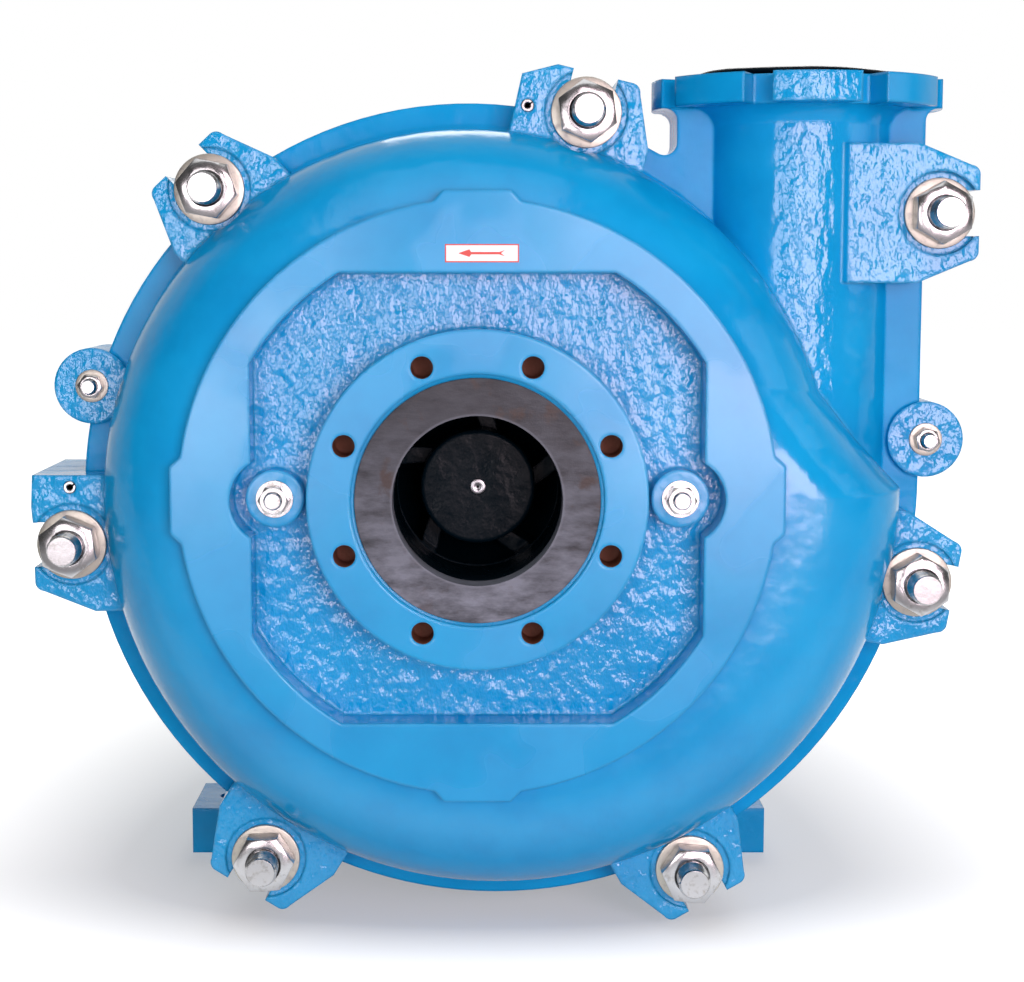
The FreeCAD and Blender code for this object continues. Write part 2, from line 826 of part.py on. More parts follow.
def suction_holes(prefix):
    """The ring of blind bolt holes in the suction flange, straddling the centre lines."""
    made = []
    for number in range(8):
        angle = math.radians(22.5 + 45 * number)
        x = f"suction_pcd / 2 * {math.cos(angle):.8f}"
        z = f"suction_pcd / 2 * {math.sin(angle):.8f}"
        made.append(rod(f"{prefix}_hole_{number + 1}", "suction_hole", "0", "suction_hole_deep", x, z))
    return made


def recess_tool():
    """The recess round the suction flange: a square with its corners rounded off by a circle."""
    square = block("recess_square", ("-recess_half", "recess_half"), ("0", "recess_y"),
                   ("-recess_half", "recess_half"))
    circle = rod("recess_circle", "recess_r", "0", "recess_y")
    shape = common("recess_shape", [square, circle])
    bulges = [rod(f"recess_bulge_{side}", "side_bulge_r", "0", "recess_y", f"{way} * side_stud_x")
              for side, way in (("right", 1), ("left", -1))]
    bosses = [rod(f"side_boss_{side}", "side_boss_r", "side_boss_y", "recess_y", f"{way} * side_stud_x")
              for side, way in (("right", 1), ("left", -1))]
    flange = rod("suction_flange_core", "suction_r", "0", "recess_y")
    return cut("recess_tool", fuse("recess_all", [shape, *bulges]), [flange, *bosses])


def ring_tabs():
    """Four low tabs that key the machined ring, one at each quarter."""
    outline = [
        ("ring_r - 12", "-tab_foot"), ("ring_r - 3", "-tab_foot"), ("tab_r", "-tab_half"),
        ("tab_r", "tab_half"), ("ring_r - 3", "tab_foot"), ("ring_r - 12", "tab_foot"),
    ]
    return [slab(f"ring_tab_{number + 1}", outline, "ring_y", "front_flat + 20", turn=90 * number)
            for number in range(4)]


def make_cover_plate():
    """The front casing half, which carries the suction flange."""
    body = casing_half("front", "rim_front", "front_flat", "front_round", -1,
                       "neck_top_front", "lug_front")
    body.append(rod("machined_ring", "ring_r", "ring_y", "front_floor"))
    body.append(rod("suction_flange", "suction_r", "0", "front_floor"))
    body += ring_tabs()
    spotfaces = [
        rod(f"spotface_{number}", "spot_r", "recess_y", "lug_front + spot_deep",
            f"lug{number}_bolt_x", f"lug{number}_bolt_z")
        for number in range(1, len(LUGS) + 1)
    ]
    side_holes = [rod(f"side_hole_{side}", "side_stud_r", "side_boss_y", "front_floor", f"{way} * side_stud_x")
                  for side, way in (("right", 1), ("left", -1))]
    pin_holes = [rod(f"front_pin_hole_{number}", "pin_r", "lug_front", "joint_y", x, z)
                 for number, (x, z) in enumerate(pin_places(), 1)]
    tools = [
        recess_tool(), liner_space("front_liner_space", "front_floor", "front_floor_r", -1),
        rod("intake_bore", "intake_r", "0", "front_floor"),
        rod("intake_groove_cut", "intake_groove", "0", "intake_groove_deep"),
        *suction_holes("suction"), *spotfaces, *side_holes, *pin_holes, *ear_holes("front"),
        *slots("front", "front_flat", "joint_y"),
    ]
    return cut("cover_plate", fuse("cover_plate_casting", body), tools)


def make_frame_plate():
    """The back casing half, which carries the stuffing box and bolts to the bearing frame."""
    body = casing_half("back", "rim_back", "back_flat", "back_round", 1,
                       "neck_top_back", "lug_back")
    body.append(rod("frame_hub", "plate_hub_r", "back_floor", "plate_back"))
    stud_holes = [rod(f"frame_stud_hole_{number}", "frame_stud_r", "plate_back - frame_stud_deep",
                      "plate_back", x, z)
                  for number, (x, z) in enumerate(frame_stud_places(), 1)]
    spotfaces = [
        rod(f"back_spotface_{number}", "spot_r", "lug_back - spot_deep", "back_flat",
            f"lug{number}_bolt_x", f"lug{number}_bolt_z")
        for number in range(1, len(LUGS) + 1)
    ]
    pin_holes = [rod(f"back_pin_hole_{number}", "pin_r", "joint_y", "lug_front + pin_deep + 55", x, z)
                 for number, (x, z) in enumerate(pin_places(), 1)]
    tools = [
        liner_space("back_liner_space", "back_floor", "back_floor_r", 1),
        rod("box_body_hole", "box_body_r", "back_floor", "plate_back"),
        rod("box_seat", "box_seat_r", "box_seat_y", "plate_back"),
        *stud_holes, *spotfaces, *pin_holes, *ear_holes("back"), *slots("back", "joint_y", "back_flat"),
    ]
    return cut("frame_plate", fuse("frame_plate_casting", body), tools)


def make_liners():
    """Rubber liners of both casing halves, with the parts of the passage they carry."""
    front_seated = cut("front_liner_seated", liner_space("front_liner", "front_floor", "front_floor_r", -1), [
        rod("throat_seat", "throat_r", "front_floor", "front_water"),
        rod("liner_stud_hole_right", "side_stud_r", "front_floor", "side_stud_back", "side_stud_x"),
        rod("liner_stud_hole_left", "side_stud_r", "front_floor", "side_stud_back", "-side_stud_x"),
    ])
    front = cut("cover_plate_liner", front_seated, [water_space("front_water_space", "front_water", -1)])
    back_seated = cut("back_liner_seated", liner_space("back_liner", "back_floor", "back_floor_r", 1), [
        rod("insert_seat", "insert_r", "back_water", "back_floor"),
    ])
    back = cut("frame_plate_liner", back_seated, [water_space("back_water_space", "back_water", 1)])
    return [front, back]


def make_wet_rings():
    """Intake ring, throat bush, back insert and the outlet lip."""
    intake = ring("intake_joint_ring", "suction_bore", "intake_r", "0", "intake_deep")
    throat = turned("throat_bush", [
        ("suction_bore", "intake_deep"), ("intake_r", "intake_deep"), ("intake_r", "front_floor"),
        ("throat_r", "front_floor"), ("throat_r", "front_water"), ("suction_bore", "front_water"),
    ])
    insert = ring("frame_plate_liner_insert", "insert_bore", "insert_r", "back_water", "back_floor")
    lip_disc = post("lip_disc", "lip_r", "outlet_top", "outlet_top + lip_thick", NECK_X, "joint_y")
    lip_bore = post("lip_bore", "neck_bore_r", "outlet_top", "outlet_top + lip_thick", NECK_X, "joint_y")
    return [intake, throat, insert, cut("discharge_joint_ring", lip_disc, [lip_bore])]


# ------------------------------------------------------------------ shaft seal


def make_shaft_seal():
    """Stuffing box, lantern ring, packing, gland follower and its studs."""
    box_body = turned("stuffing_box_body", [
        ("sleeve_r + throat_gap", "back_floor"), ("box_body_r", "back_floor"),
        ("box_body_r", "box_seat_y"), ("box_seat_r", "box_seat_y"), ("box_seat_r", "plate_back"),
        ("box_tail_r", "plate_back"), ("box_tail_r", "box_end"), ("box_bore", "box_end"),
        ("box_bore", "box_floor"), ("sleeve_r + throat_gap", "box_floor"),
    ])
    box_ears = column_bar("box_ear_bar", "box_ear_y", "box_end")
    clear = rod("box_bar_bore", "box_tail_r - 1", "box_ear_y", "box_end")
    stud_holes = [rod(f"box_stud_hole_{side}", "gland_stud_r", "box_ear_y", "box_end", f"{way} * box_ear_x")
                  for side, way in (("right", 1), ("left", -1))]
    box = fuse("stuffing_box", [box_body, cut("box_ears", box_ears, [clear, *stud_holes])])
    lantern_groove = "box_floor + (lantern_end - box_floor) / 2"
    lantern = turned("lantern_ring", [
        ("sleeve_r + throat_gap", "box_floor"), ("box_bore", "box_floor"),
        ("box_bore", f"{lantern_groove} - 4"), ("box_bore - 4", f"{lantern_groove} - 4"),
        ("box_bore - 4", f"{lantern_groove} + 4"), ("box_bore", f"{lantern_groove} + 4"),
        ("box_bore", "lantern_end"), ("sleeve_r + throat_gap", "lantern_end"),
    ])
    packing_ring = document.addObject("PartDesign::Body", "packing_ring")
    sketch = packing_ring.newObject("Sketcher::SketchObject", "packing_ring_profile")
    sketch.AttachmentSupport = (plane_of(packing_ring, "XZ_Plane"), [""])
    sketch.MapMode = "FlatFace"
    inner = "sleeve_r + packing_gap"
    draw(sketch, [(inner, "0"), ("box_bore", "0"), ("box_bore", "ring_wide"), (inner, "ring_wide")])
    turning = packing_ring.newObject("PartDesign::Revolution", "packing_ring_turning")
    turning.Profile = sketch
    turning.ReferenceAxis = (sketch, ["V_Axis"])
    turning.Angle = 360
    packing = copies("packing_rings", packing_ring, [
        ("0", f"lantern_end + {number} * ring_wide", "0", ALONG_Y) for number in range(4)])
    return [box, lantern, packing, make_follower(), *make_gland_fasteners()]


def column_bar(name, start, end):
    """A flat bar across the shaft with round ends about the gland studs."""
    return slab(name, [
        ("box_ear_x", "-box_ear_r"), ("box_ear_x + box_ear_r", "0", "box_ear_r", 1),
        ("box_ear_x", "box_ear_r", "box_ear_r", 1), ("-box_ear_x", "box_ear_r"),
        ("-box_ear_x - box_ear_r", "0", "box_ear_r", 1), ("-box_ear_x", "-box_ear_r", "box_ear_r", 1),
    ], start, end)


def make_follower():
    """The two-eared gland follower that presses on the packing."""
    nose = ring("follower_nose", "follower_bore", "follower_nose_r", "packing_end", "follower_end")
    plate = rod("follower_plate", "follower_r", "follower_face", "follower_end")
    bar = column_bar("follower_bar", "follower_face", "follower_end")
    body = fuse("follower_body", [plate, bar])
    bore = rod("follower_bore_cut", "follower_nose_r", "follower_face", "follower_end")
    holes = [rod(f"follower_hole_{side}", "gland_hole", "follower_face", "follower_end", f"{way} * box_ear_x")
             for side, way in (("right", 1), ("left", -1))]
    return fuse("gland_follower", [cut("follower_flange", body, [bore, *holes]), nose])


def make_gland_fasteners():
    """Studs that stand in the stuffing box, and the nuts that press the follower in."""
    length = "gland_stud_end - box_ear_y"
    studs = copies("gland_studs", stud("gland_stud", "gland_stud_r", length), [
        (f"{way} * box_ear_x", "box_ear_y", "0", ALONG_Y) for way in (1, -1)])
    nuts = copies("gland_nuts", nut("gland_nut", "gland_nut_flats", "gland_nut_thick", "gland_stud_r + 0.3"), [
        (f"{way} * box_ear_x", "follower_end", "0", ALONG_Y) for way in (1, -1)])
    return [studs, nuts]


# ------------------------------------------------------------------ rotor


def vane(name, start, end, inner, outer, thick, number, count):
    """One backward-curved vane between two radii, as a bent bar drawn out along Y."""
    sweep = Rotation(Vector(0, 1, 0), -360 * number / count)
    outer = f"({outer})"
    tip = f"{outer} * 0.72"
    corners = [
        (inner, f"-{thick} / 2"),
        (f"{outer} * 0.70 + {thick} / 2", tip, f"{outer} * 0.95", 1),
        (f"{outer} * 0.70 - {thick} / 2", tip),
        (inner, f"{thick} / 2", f"{outer} * 0.95", -1),
    ]
    sketch = free_sketch(name + "_outline", corners)
    put(sketch, 0, start, 0, sweep.multiply(UPRIGHT))
    solid = document.addObject("Part::Extrusion", name)
    solid.Base = sketch
    solid.DirMode = "Custom"
    solid.Dir = Vector(0, 1, 0)
    solid.Solid = True
    return bind(solid, LengthFwd=f"({end}) - ({start})")


def make_impeller():
    """Closed impeller moulded over a steel boss, with expelling vanes on both outer faces."""
    shrouds = turned("impeller_shrouds", [
        ("0", "nose_y"), ("nose_r - 4", "nose_y"), ("nose_r", "nose_y + 4", "4", 1),
        ("nose_r", "channel_back - 40"), ("nose_r + 40", "channel_back", "40", -1),
        ("impeller_r", "channel_back"), ("impeller_r", "shroud_back"),
        ("hub_r", "shroud_back"), ("hub_r", "hub_back"), ("0", "hub_back"),
    ])
    front = turned("impeller_front_shroud", [
        ("suction_bore", "shroud_front"), ("impeller_r", "shroud_front"),
        ("impeller_r", "channel_front"), ("suction_bore + 14", "channel_front"),
        ("suction_bore", "channel_front - 12"),
    ])
    vanes = [vane(f"main_vane_{number + 1}", "channel_front - 2", "channel_back + 2",
                  "nose_r - 10", "impeller_r - 4", "vane_thick", number, 5) for number in range(5)]
    inner_trim = rod("eye_trim", "suction_bore", "channel_front - 2", "channel_front + 10")
    trimmed = cut("main_vanes", fuse("main_vane_set", vanes), [inner_trim])
    limit = rod("vane_limit", "impeller_r - 1", "shroud_front", "shroud_back")
    front_vanes = [vane(f"front_expeller_{number + 1}", "vane_face_front", "shroud_front + 1",
                        "suction_bore + 16", "impeller_r - 8", "14", number, 8) for number in range(8)]
    back_vanes = [vane(f"back_expeller_{number + 1}", "shroud_back - 1", "vane_face_back",
                       "hub_r + 20", "impeller_r - 8", "14", number, 8) for number in range(8)]
    whole = fuse("impeller_casting", [
        shrouds, front, common("vanes_inside", [trimmed, limit]), *front_vanes, *back_vanes])
    moulding = cut("impeller", whole, [rod("impeller_boss_space", "boss_r", "thread_y", "hub_back")])
    return [moulding, ring("impeller_boss", "thread_r", "boss_r", "thread_y", "hub_back")]


def make_shaft():
    """Stepped shaft from the impeller thread to the drive end, with an open keyway."""
    drive_race_end = "drive_race_y + race_wide"
    bar = turned("shaft_bar", [
        ("0", "thread_y"), ("thread_r", "thread_y"), ("thread_r", "hub_back"),
        ("sleeve_seat_r", "hub_back"), ("sleeve_seat_r", "spacer_end"),
        ("collar_seat_r", "spacer_end"), ("collar_seat_r", "race_y"),
        ("race_seat_r", "race_y"), ("race_seat_r", "race_y + race_wide"),
        ("waist_r", "race_y + race_wide"), ("waist_r", "drive_race_y"),
        ("race_seat_r", "drive_race_y"), ("race_seat_r", drive_race_end),
        ("race_seat_r", "locknut_end"), ("collar_seat_r", "locknut_end"),
        ("collar_seat_r", "shaft_step_y"), ("shaft_end_r", "shaft_step_y"),
        ("shaft_end_r", "shaft_end - 2"), ("shaft_end_r - 2", "shaft_end"), ("0", "shaft_end"),
    ])
    keyway = slab("keyway", [
        ("key_low", "-key_wide / 2"), ("key_top", "-key_wide / 2"),
        ("key_top", "key_wide / 2"), ("key_low", "key_wide / 2"),
    ], "key_start", "key_end", turn=70)
    return cut("shaft", bar, [keyway])


def make_shaft_rings():
    """Sleeve, spacer, labyrinth collars and locknut that the shaft carries."""
    sleeve = ring("shaft_sleeve", "sleeve_seat_r", "sleeve_r", "hub_back", "sleeve_end")
    spacer = ring("shaft_spacer", "sleeve_seat_r", "spacer_r", "sleeve_end", "spacer_end")
    front = turned("labyrinth_pump_end", grooved_collar("spacer_end", "race_y"))
    back = turned("labyrinth_drive_end", grooved_collar("locknut_end", "drive_collar_end"))
    locknut = ring("bearing_locknut", "race_seat_r", "locknut_r", "locknut_y", "locknut_end")
    return [sleeve, spacer, front, back, locknut]


def grooved_collar(start, end):
    """A collar on the shaft with two grooves that throw grease and dirt outwards."""
    third = f"(({end}) - ({start})) / 5"
    outer, root = "collar_r", "collar_r - 5"
    corners = [("collar_seat_r", start), (outer, start)]
    for step in (1, 3):
        near, far = f"{start} + {step} * {third}", f"{start} + {step + 1} * {third}"
        corners += [(outer, near), (root, near), (root, far), (outer, far)]
    return [*corners, (outer, end), ("collar_seat_r", end)]


def make_bearings():
    """Both roller bearings: races, rollers and cages."""
    parts = []
    for tag, start in (("pump_end", "race_y"), ("drive_end", "drive_race_y")):
        end = f"{start} + race_wide"
        parts.append(ring(f"inner_race_{tag}", "race_seat_r", "inner_race_r", start, end))
        parts.append(ring(f"outer_race_{tag}", "outer_race_in", "outer_race_r", start, end))
        places = []
        pockets = []
        for number in range(14):
            angle = math.radians(360 * number / 14)
            x = f"roller_pitch_r * {math.cos(angle):.8f}"
            z = f"roller_pitch_r * {math.sin(angle):.8f}"
            places.append((x, f"{start} + roller_end_gap", z, ALONG_Y))
            pockets.append(rod(f"{tag}_pocket_{number + 1}", "cage_pocket_r",
                               f"{start} + roller_end_gap - 0.4", f"{end} - roller_end_gap + 0.4", x, z))
        roller = document.addObject("Part::Cylinder", f"{tag}_roller")
        bind(roller, Radius="roller_r", Height="race_wide - 2 * roller_end_gap")
        parts.append(copies(f"rollers_{tag}", roller, places))
        blank = ring(f"{tag}_cage_blank", "cage_in", "cage_out",
                     f"{start} + cage_end_gap", f"{end} - cage_end_gap")
        parts.append(cut(f"cage_{tag}", blank, pockets))
    return parts


# ------------------------------------------------------------------ bearing assembly


def cover_screw_places(y):
    """Places of the six screws of one end cover."""
    places = []
    for number in range(6):
        angle = math.radians(30 + 60 * number)
        x = f"cover_pcd / 2 * {math.cos(angle):.8f}"
        z = f"cover_pcd / 2 * {math.sin(angle):.8f}"
        places.append((x, y, z))
    return places


def make_housing():
    """The round cartridge that holds both bearings, with its clamping pads and screw lug."""
    tube = ring("housing_tube", "outer_race_r", "housing_r", "housing_front", "housing_back")
    pads = []
    holes = []
    for tag, start in (("front", "front_pad_y"), ("back", "back_pad_y")):
        for side, way in (("right", 1), ("left", -1)):
            limits = ("housing_r - 8", "pad_half") if way > 0 else ("-pad_half", "-housing_r + 8")
            pads.append(block(f"housing_pad_{tag}_{side}", limits, (start, f"{start} + pad_wide"),
                              ("pad_low", "pad_top")))
            holes.append(post(f"housing_hole_{tag}_{side}", "clamp_hole", "pad_low", "pad_top",
                              f"{way} * clamp_x", f"{start} + pad_wide / 2"))
    lug = block("housing_screw_lug", ("-screw_lug_half", "screw_lug_half"),
                ("screw_lug_y", "screw_lug_y + screw_lug_thick"), ("adjuster_z - 24", "-outer_race_r - 8"))
    screw_hole = rod("housing_screw_hole", "adjuster_r", "screw_lug_y", "screw_lug_y + screw_lug_thick",
                     "0", "adjuster_z")
    threads = []
    for tag, depth, face in (("front", "screw_deep", "housing_front"), ("back", "-screw_deep", "housing_back")):
        for number, (x, y, z) in enumerate(cover_screw_places(face), 1):
            start, end = (face, f"{face} + {depth}") if tag == "front" else (f"{face} + {depth}", face)
            threads.append(rod(f"housing_thread_{tag}_{number}", "screw_r", start, end, x, z))
    return cut("bearing_housing", fuse("housing_casting", [tube, *pads, lug]), [*holes, screw_hole, *threads])


def make_end_cover(label, way, face):
    """An end cover whose spigot reaches the outer race; way is -1 at the pump end."""
    shimmed = f"{face} + {way} * shim_thick"
    outside = f"{shimmed} + {way} * cover_thick"
    race = "race_y" if way < 0 else "drive_race_y + race_wide"
    body = turned(label + "_turned", [
        ("cover_bore", outside), ("cover_r", outside), ("cover_r", shimmed),
        ("outer_race_r", shimmed), ("outer_race_r", race), ("outer_race_in", race),
        ("outer_race_in", f"{shimmed} - {way} * 4"), ("cover_bore", f"{shimmed} - {way} * 4"),
    ])
    start, end = (outside, shimmed) if way < 0 else (shimmed, outside)
    holes = [rod(f"{label}_hole_{number}", "screw_r", start, end, x, z)
             for number, (x, _, z) in enumerate(cover_screw_places(face), 1)]
    return cut(label, body, holes)


def make_shim(label, way, face):
    """The shim set under an end cover, which sets the bearing's end float."""
    start, end = (f"{face} - shim_thick", face) if way < 0 else (face, f"{face} + shim_thick")
    blank = ring(label + "_blank", "shim_in", "cover_r - 2", start, end)
    holes = [rod(f"{label}_hole_{number}", "screw_r", start, end, x, z)
             for number, (x, _, z) in enumerate(cover_screw_places(face), 1)]
    return cut(label, blank, holes)


def make_cover_screws():
    """Cap screws of both end covers, heads outwards."""
    head = document.addObject("Part::Cylinder", "cover_screw_head")
    shank = document.addObject("Part::Cylinder", "cover_screw_shank")
    socket = document.addObject("Part::Prism", "cover_screw_socket")
    socket.Polygon = 6
    reach = "cover_thick + shim_thick + screw_deep - 2"
    bind(head, Radius="screw_head_r", Height="screw_head")
    bind(shank, Radius="screw_r", Height=reach)
    bind(socket, Circumradius="screw_r - 0.3", Height="screw_head / 2")
    put(head, z="-screw_head")
    put(socket, z="-screw_head")
    screw = cut("cover_screw", fuse("cover_screw_blank", [head, shank]), [socket])
    front = f"housing_front - shim_thick - cover_thick"
    back = f"housing_back + shim_thick + cover_thick"
    places = [(x, y, z, ALONG_Y) for x, y, z in cover_screw_places(front)]
    places += [(x, y, z, UPRIGHT) for x, y, z in cover_screw_places(back)]
    return copies("end_cover_screws", screw, places)


def make_grease_nipples():
    """Grease nipples on top of the housing, one over each bearing."""
    nipple = turned_upright("grease_nipple", [
        ("0", "0"), ("7", "0"), ("7", "7"), ("4", "7"), ("4", "12"), ("5", "14"), ("3", "18"), ("0", "18"),
    ])
    return copies("grease_nipples", nipple, [
        ("0", "race_y + race_wide / 2", "nipple_z", Rotation()),
        ("0", "drive_race_y + race_wide / 2", "nipple_z", Rotation()),
    ])


def turned_upright(label, corners):
    """A body turned about Z from an outline of (radius, z) corners."""
    body = document.addObject("PartDesign::Body", label)
    sketch = body.newObject("Sketcher::SketchObject", label + "_profile")
    sketch.AttachmentSupport = (plane_of(body, "XZ_Plane"), [""])
    sketch.MapMode = "FlatFace"
    draw(sketch, corners)
    turning = body.newObject("PartDesign::Revolution", label + "_turning")
    turning.Profile = sketch
    turning.ReferenceAxis = (sketch, ["V_Axis"])
    turning.Angle = 360
    return body


def make_bearing_assembly():
    screw_length = "screw_lug_y + screw_lug_thick + 14 - adjuster_start"
    screw = copies("adjusting_screw", stud("adjuster", "adjuster_r", screw_length),
                   [("0", "adjuster_start", "adjuster_z", ALONG_Y)])
    return [
        make_housing(), make_end_cover("end_cover_pump", -1, "housing_front"),
        make_end_cover("end_cover_drive", 1, "housing_back"),
        make_shim("shims_pump", -1, "housing_front"), make_shim("shims_drive", 1, "housing_back"),
        make_cover_screws(), make_grease_nipples(), screw,
    ]


# ------------------------------------------------------------------ bearing frame


def frame_stud_places():
    """Centres of the four studs between the casing and the bearing frame."""
    places = []
    for number in range(4):
        angle = math.radians(45 + 90 * number)
        places.append((f"frame_pcd / 2 * {math.cos(angle):.8f}", f"frame_pcd / 2 * {math.sin(angle):.8f}"))
    return places


def make_frame_base():
    """Cast frame: front ring, two long webs, deck, feet and the saddles for the cartridge."""
    parts = [rod("frame_ring", "base_ring_r", "base_front", "base_ring_back")]
    parts.append(slab("frame_nose", [
        ("-foot_relief_half", "foot_top"), ("foot_relief_half", "foot_top"),
        ("web_out", "-60"), ("-web_out", "-60"),
    ], "base_front", "base_ring_back"))
    for side, way in (("right", 1), ("left", -1)):
        limits = ("web_out - web_thick", "web_out") if way > 0 else ("-web_out", "-web_out + web_thick")
        parts.append(block(f"frame_web_{side}", limits, ("base_front", "base_back"), ("foot_top", "web_top")))
        for tag, start in (("front", "front_pad_y"), ("back", "back_pad_y")):
            limits = ("saddle_in", "web_out") if way > 0 else ("-web_out", "-saddle_in")
            parts.append(block(f"saddle_{tag}_{side}", limits, (start, f"{start} + pad_wide"),
                               ("web_top - 60", "saddle_top")))
    parts.append(block("frame_deck", ("-web_out", "web_out"), ("base_front", "base_back"),
                       ("foot_top", "foot_top + deck_thick")))
    for tag, start in (("front", "foot_front"), ("rear", "rear_foot_y")):
        parts.append(block(f"foot_{tag}", ("-foot_half", "foot_half"), (start, f"{start} + foot_deep"),
                           ("floor_z", "foot_top")))
    parts.append(block("adjuster_lug", ("-screw_lug_half", "screw_lug_half"),
                       ("adjuster_lug_y", "adjuster_lug_y + adjuster_lug_thick"),
                       ("foot_top", "adjuster_z + 20")))
    tools = [rod("frame_ring_bore", "base_ring_bore", "base_front", "base_ring_back")]
    for number, (x, z) in enumerate(frame_stud_places(), 1):
        tools.append(rod(f"frame_ring_hole_{number}", "frame_stud_r", "base_front", "base_ring_back", x, z))
    for tag, start in (("front", "foot_front"), ("rear", "rear_foot_y")):
        tools.append(block(f"foot_relief_{tag}", ("-foot_relief_half", "foot_relief_half"),
                           (start, f"{start} + foot_deep"), ("floor_z", "floor_z + foot_relief")))
        for side, way in (("right", 1), ("left", -1)):
            tools.append(post(f"foot_hole_{tag}_{side}", "foot_hole", "floor_z", "foot_top",
                              f"{way} * foot_x", f"{start} + foot_deep / 2"))
    for tag, start in (("front", "front_pad_y"), ("back", "back_pad_y")):
        for side, way in (("right", 1), ("left", -1)):
            tools.append(post(f"saddle_hole_{tag}_{side}", "clamp_r", "clamp_low", "saddle_top",
                              f"{way} * clamp_x", f"{start} + pad_wide / 2"))
    tools.append(rod("adjuster_lug_hole", "adjuster_hole", "adjuster_lug_y",
                     "adjuster_lug_y + adjuster_lug_thick", "0", "adjuster_z"))
    return cut("frame_base", fuse("frame_casting", parts), tools)


def make_frame_fasteners():
    """Frame studs and nuts, cartridge clamp bolts, and the adjusting nuts."""
    stud_start = "plate_back - frame_stud_deep"
    stud_length = f"frame_stud_end - ({stud_start})"
    frame_studs = copies("frame_studs", stud("frame_stud", "frame_stud_r", stud_length), [
        (x, stud_start, z, ALONG_Y) for x, z in frame_stud_places()])
    frame_nuts = copies("frame_nuts", nut("frame_nut", "frame_nut_flats", "frame_nut_thick", "frame_stud_r"), [
        (x, "base_ring_back", z, ALONG_Y) for x, z in frame_stud_places()])
    clamps = [(f"{way} * clamp_x", f"{start} + pad_wide / 2")
              for start in ("front_pad_y", "back_pad_y") for way in (1, -1)]
    clamp_length = "pad_top + 0.2 + clamp_washer + clamp_nut_thick + 8 - clamp_low"
    bolts = copies("clamp_studs", stud("clamp_stud", "clamp_r", clamp_length), [
        (x, y, "clamp_low", Rotation()) for x, y in clamps])
    washers = copies("clamp_washers", washer("clamp_disc", "clamp_r", "clamp_washer_r", "clamp_washer"), [
        (x, y, "pad_top + 0.2", Rotation()) for x, y in clamps])
    nuts = copies("clamp_nuts", nut("clamp_nut", "clamp_nut_flats", "clamp_nut_thick", "clamp_r"), [
        (x, y, "pad_top + 0.2 + clamp_washer", Rotation()) for x, y in clamps])
    adjusting = copies("adjusting_nuts", nut(
        "adjuster_nut", "adjuster_nut_flats", "adjuster_nut_thick", "adjuster_r + 0.3"), [
        ("0", "adjuster_lug_y - adjuster_nut_thick", "adjuster_z", ALONG_Y),
        ("0", "adjuster_lug_y + adjuster_lug_thick", "adjuster_z", ALONG_Y)])
    return [frame_studs, frame_nuts, bolts, washers, nuts, adjusting]


# ------------------------------------------------------------------ casing fasteners


def make_casing_fasteners():
    """Studs, nuts and washers of the casing joint, its ears, its pins and its side studs."""
    bolts = [(f"lug{number}_bolt_x", f"lug{number}_bolt_z") for number in range(1, len(LUGS) + 1)]
    front_washer = "lug_front + spot_deep - washer_thick"
    front_nut = f"{front_washer} - nut_thick"
    back_washer = "lug_back - spot_deep"
    washer_disc = washer("cover_washer", "stud_r", "washer_r", "washer_thick")
    cover_nut = nut("cover_nut", "nut_flats", "nut_thick", "stud_r")
    parts = [
        copies("cover_studs", stud("cover_stud", "stud_r", "stud_back - stud_front"),
               [(x, "stud_front", z, ALONG_Y) for x, z in bolts]),
        copies("cover_washers_front", washer_disc, [(x, front_washer, z, ALONG_Y) for x, z in bolts]),
        copies("cover_nuts_front", cover_nut, [(x, front_nut, z, ALONG_Y) for x, z in bolts]),
        copies("cover_washers_back", washer_disc, [(x, back_washer, z, ALONG_Y) for x, z in bolts]),
        copies("cover_nuts_back", cover_nut,
               [(x, f"{back_washer} + washer_thick", z, ALONG_Y) for x, z in bolts]),
    ]
    ear_bolts = [(f"ear{number}_bolt_x", f"ear{number}_bolt_z") for number in (1, 2)]
    ear_end = "ear_back + ear_washer + ear_nut_thick + 6"
    ear_disc = washer("ear_washer_disc", "ear_bolt_r", "ear_washer_r", "ear_washer")
    ear_nut = nut("ear_nut", "ear_nut_flats", "ear_nut_thick", "ear_bolt_r")
    parts += [
        copies("ear_studs", stud("ear_stud", "ear_bolt_r", f"{ear_end} - ear_bolt_front"),
               [(x, "ear_bolt_front", z, ALONG_Y) for x, z in ear_bolts]),
        copies("ear_washers", ear_disc, [
            place for x, z in ear_bolts
            for place in ((x, "ear_front - ear_washer", z, ALONG_Y), (x, "ear_back", z, ALONG_Y))]),
        copies("ear_nuts", ear_nut, [
            place for x, z in ear_bolts
            for place in ((x, "ear_front - ear_washer - ear_nut_thick", z, ALONG_Y),
                          (x, "ear_back + ear_washer", z, ALONG_Y))]),
    ]
    pin = stud("roll_pin", "pin_r", "pin_deep + 50 + pin_face")
    parts.append(copies("roll_pins", pin, [(x, "lug_front - pin_face", z, ALONG_Y) for x, z in pin_places()]))
    sides = [("side_stud_x", 1), ("-side_stud_x", -1)]
    hexagon = nut("side_nut_hexagon_part", "side_nut_flats", "side_nut_thick", "side_stud_r")
    flange = washer("side_nut_flange", "side_stud_r", "side_flange_r", "side_flange")
    put(flange, z="side_nut_thick")
    side_nut = fuse("side_nut", [hexagon, flange])
    parts += [
        copies("liner_studs", stud("liner_stud", "side_stud_r", "side_stud_back - side_stud_front"),
               [(x, "side_stud_front", "0", ALONG_Y) for x, _ in sides]),
        copies("liner_stud_nuts", side_nut, [
            (x, "side_boss_y - side_nut_thick - side_flange", "0", ALONG_Y) for x, _ in sides]),
    ]
    return parts


# ------------------------------------------------------------------ the pump


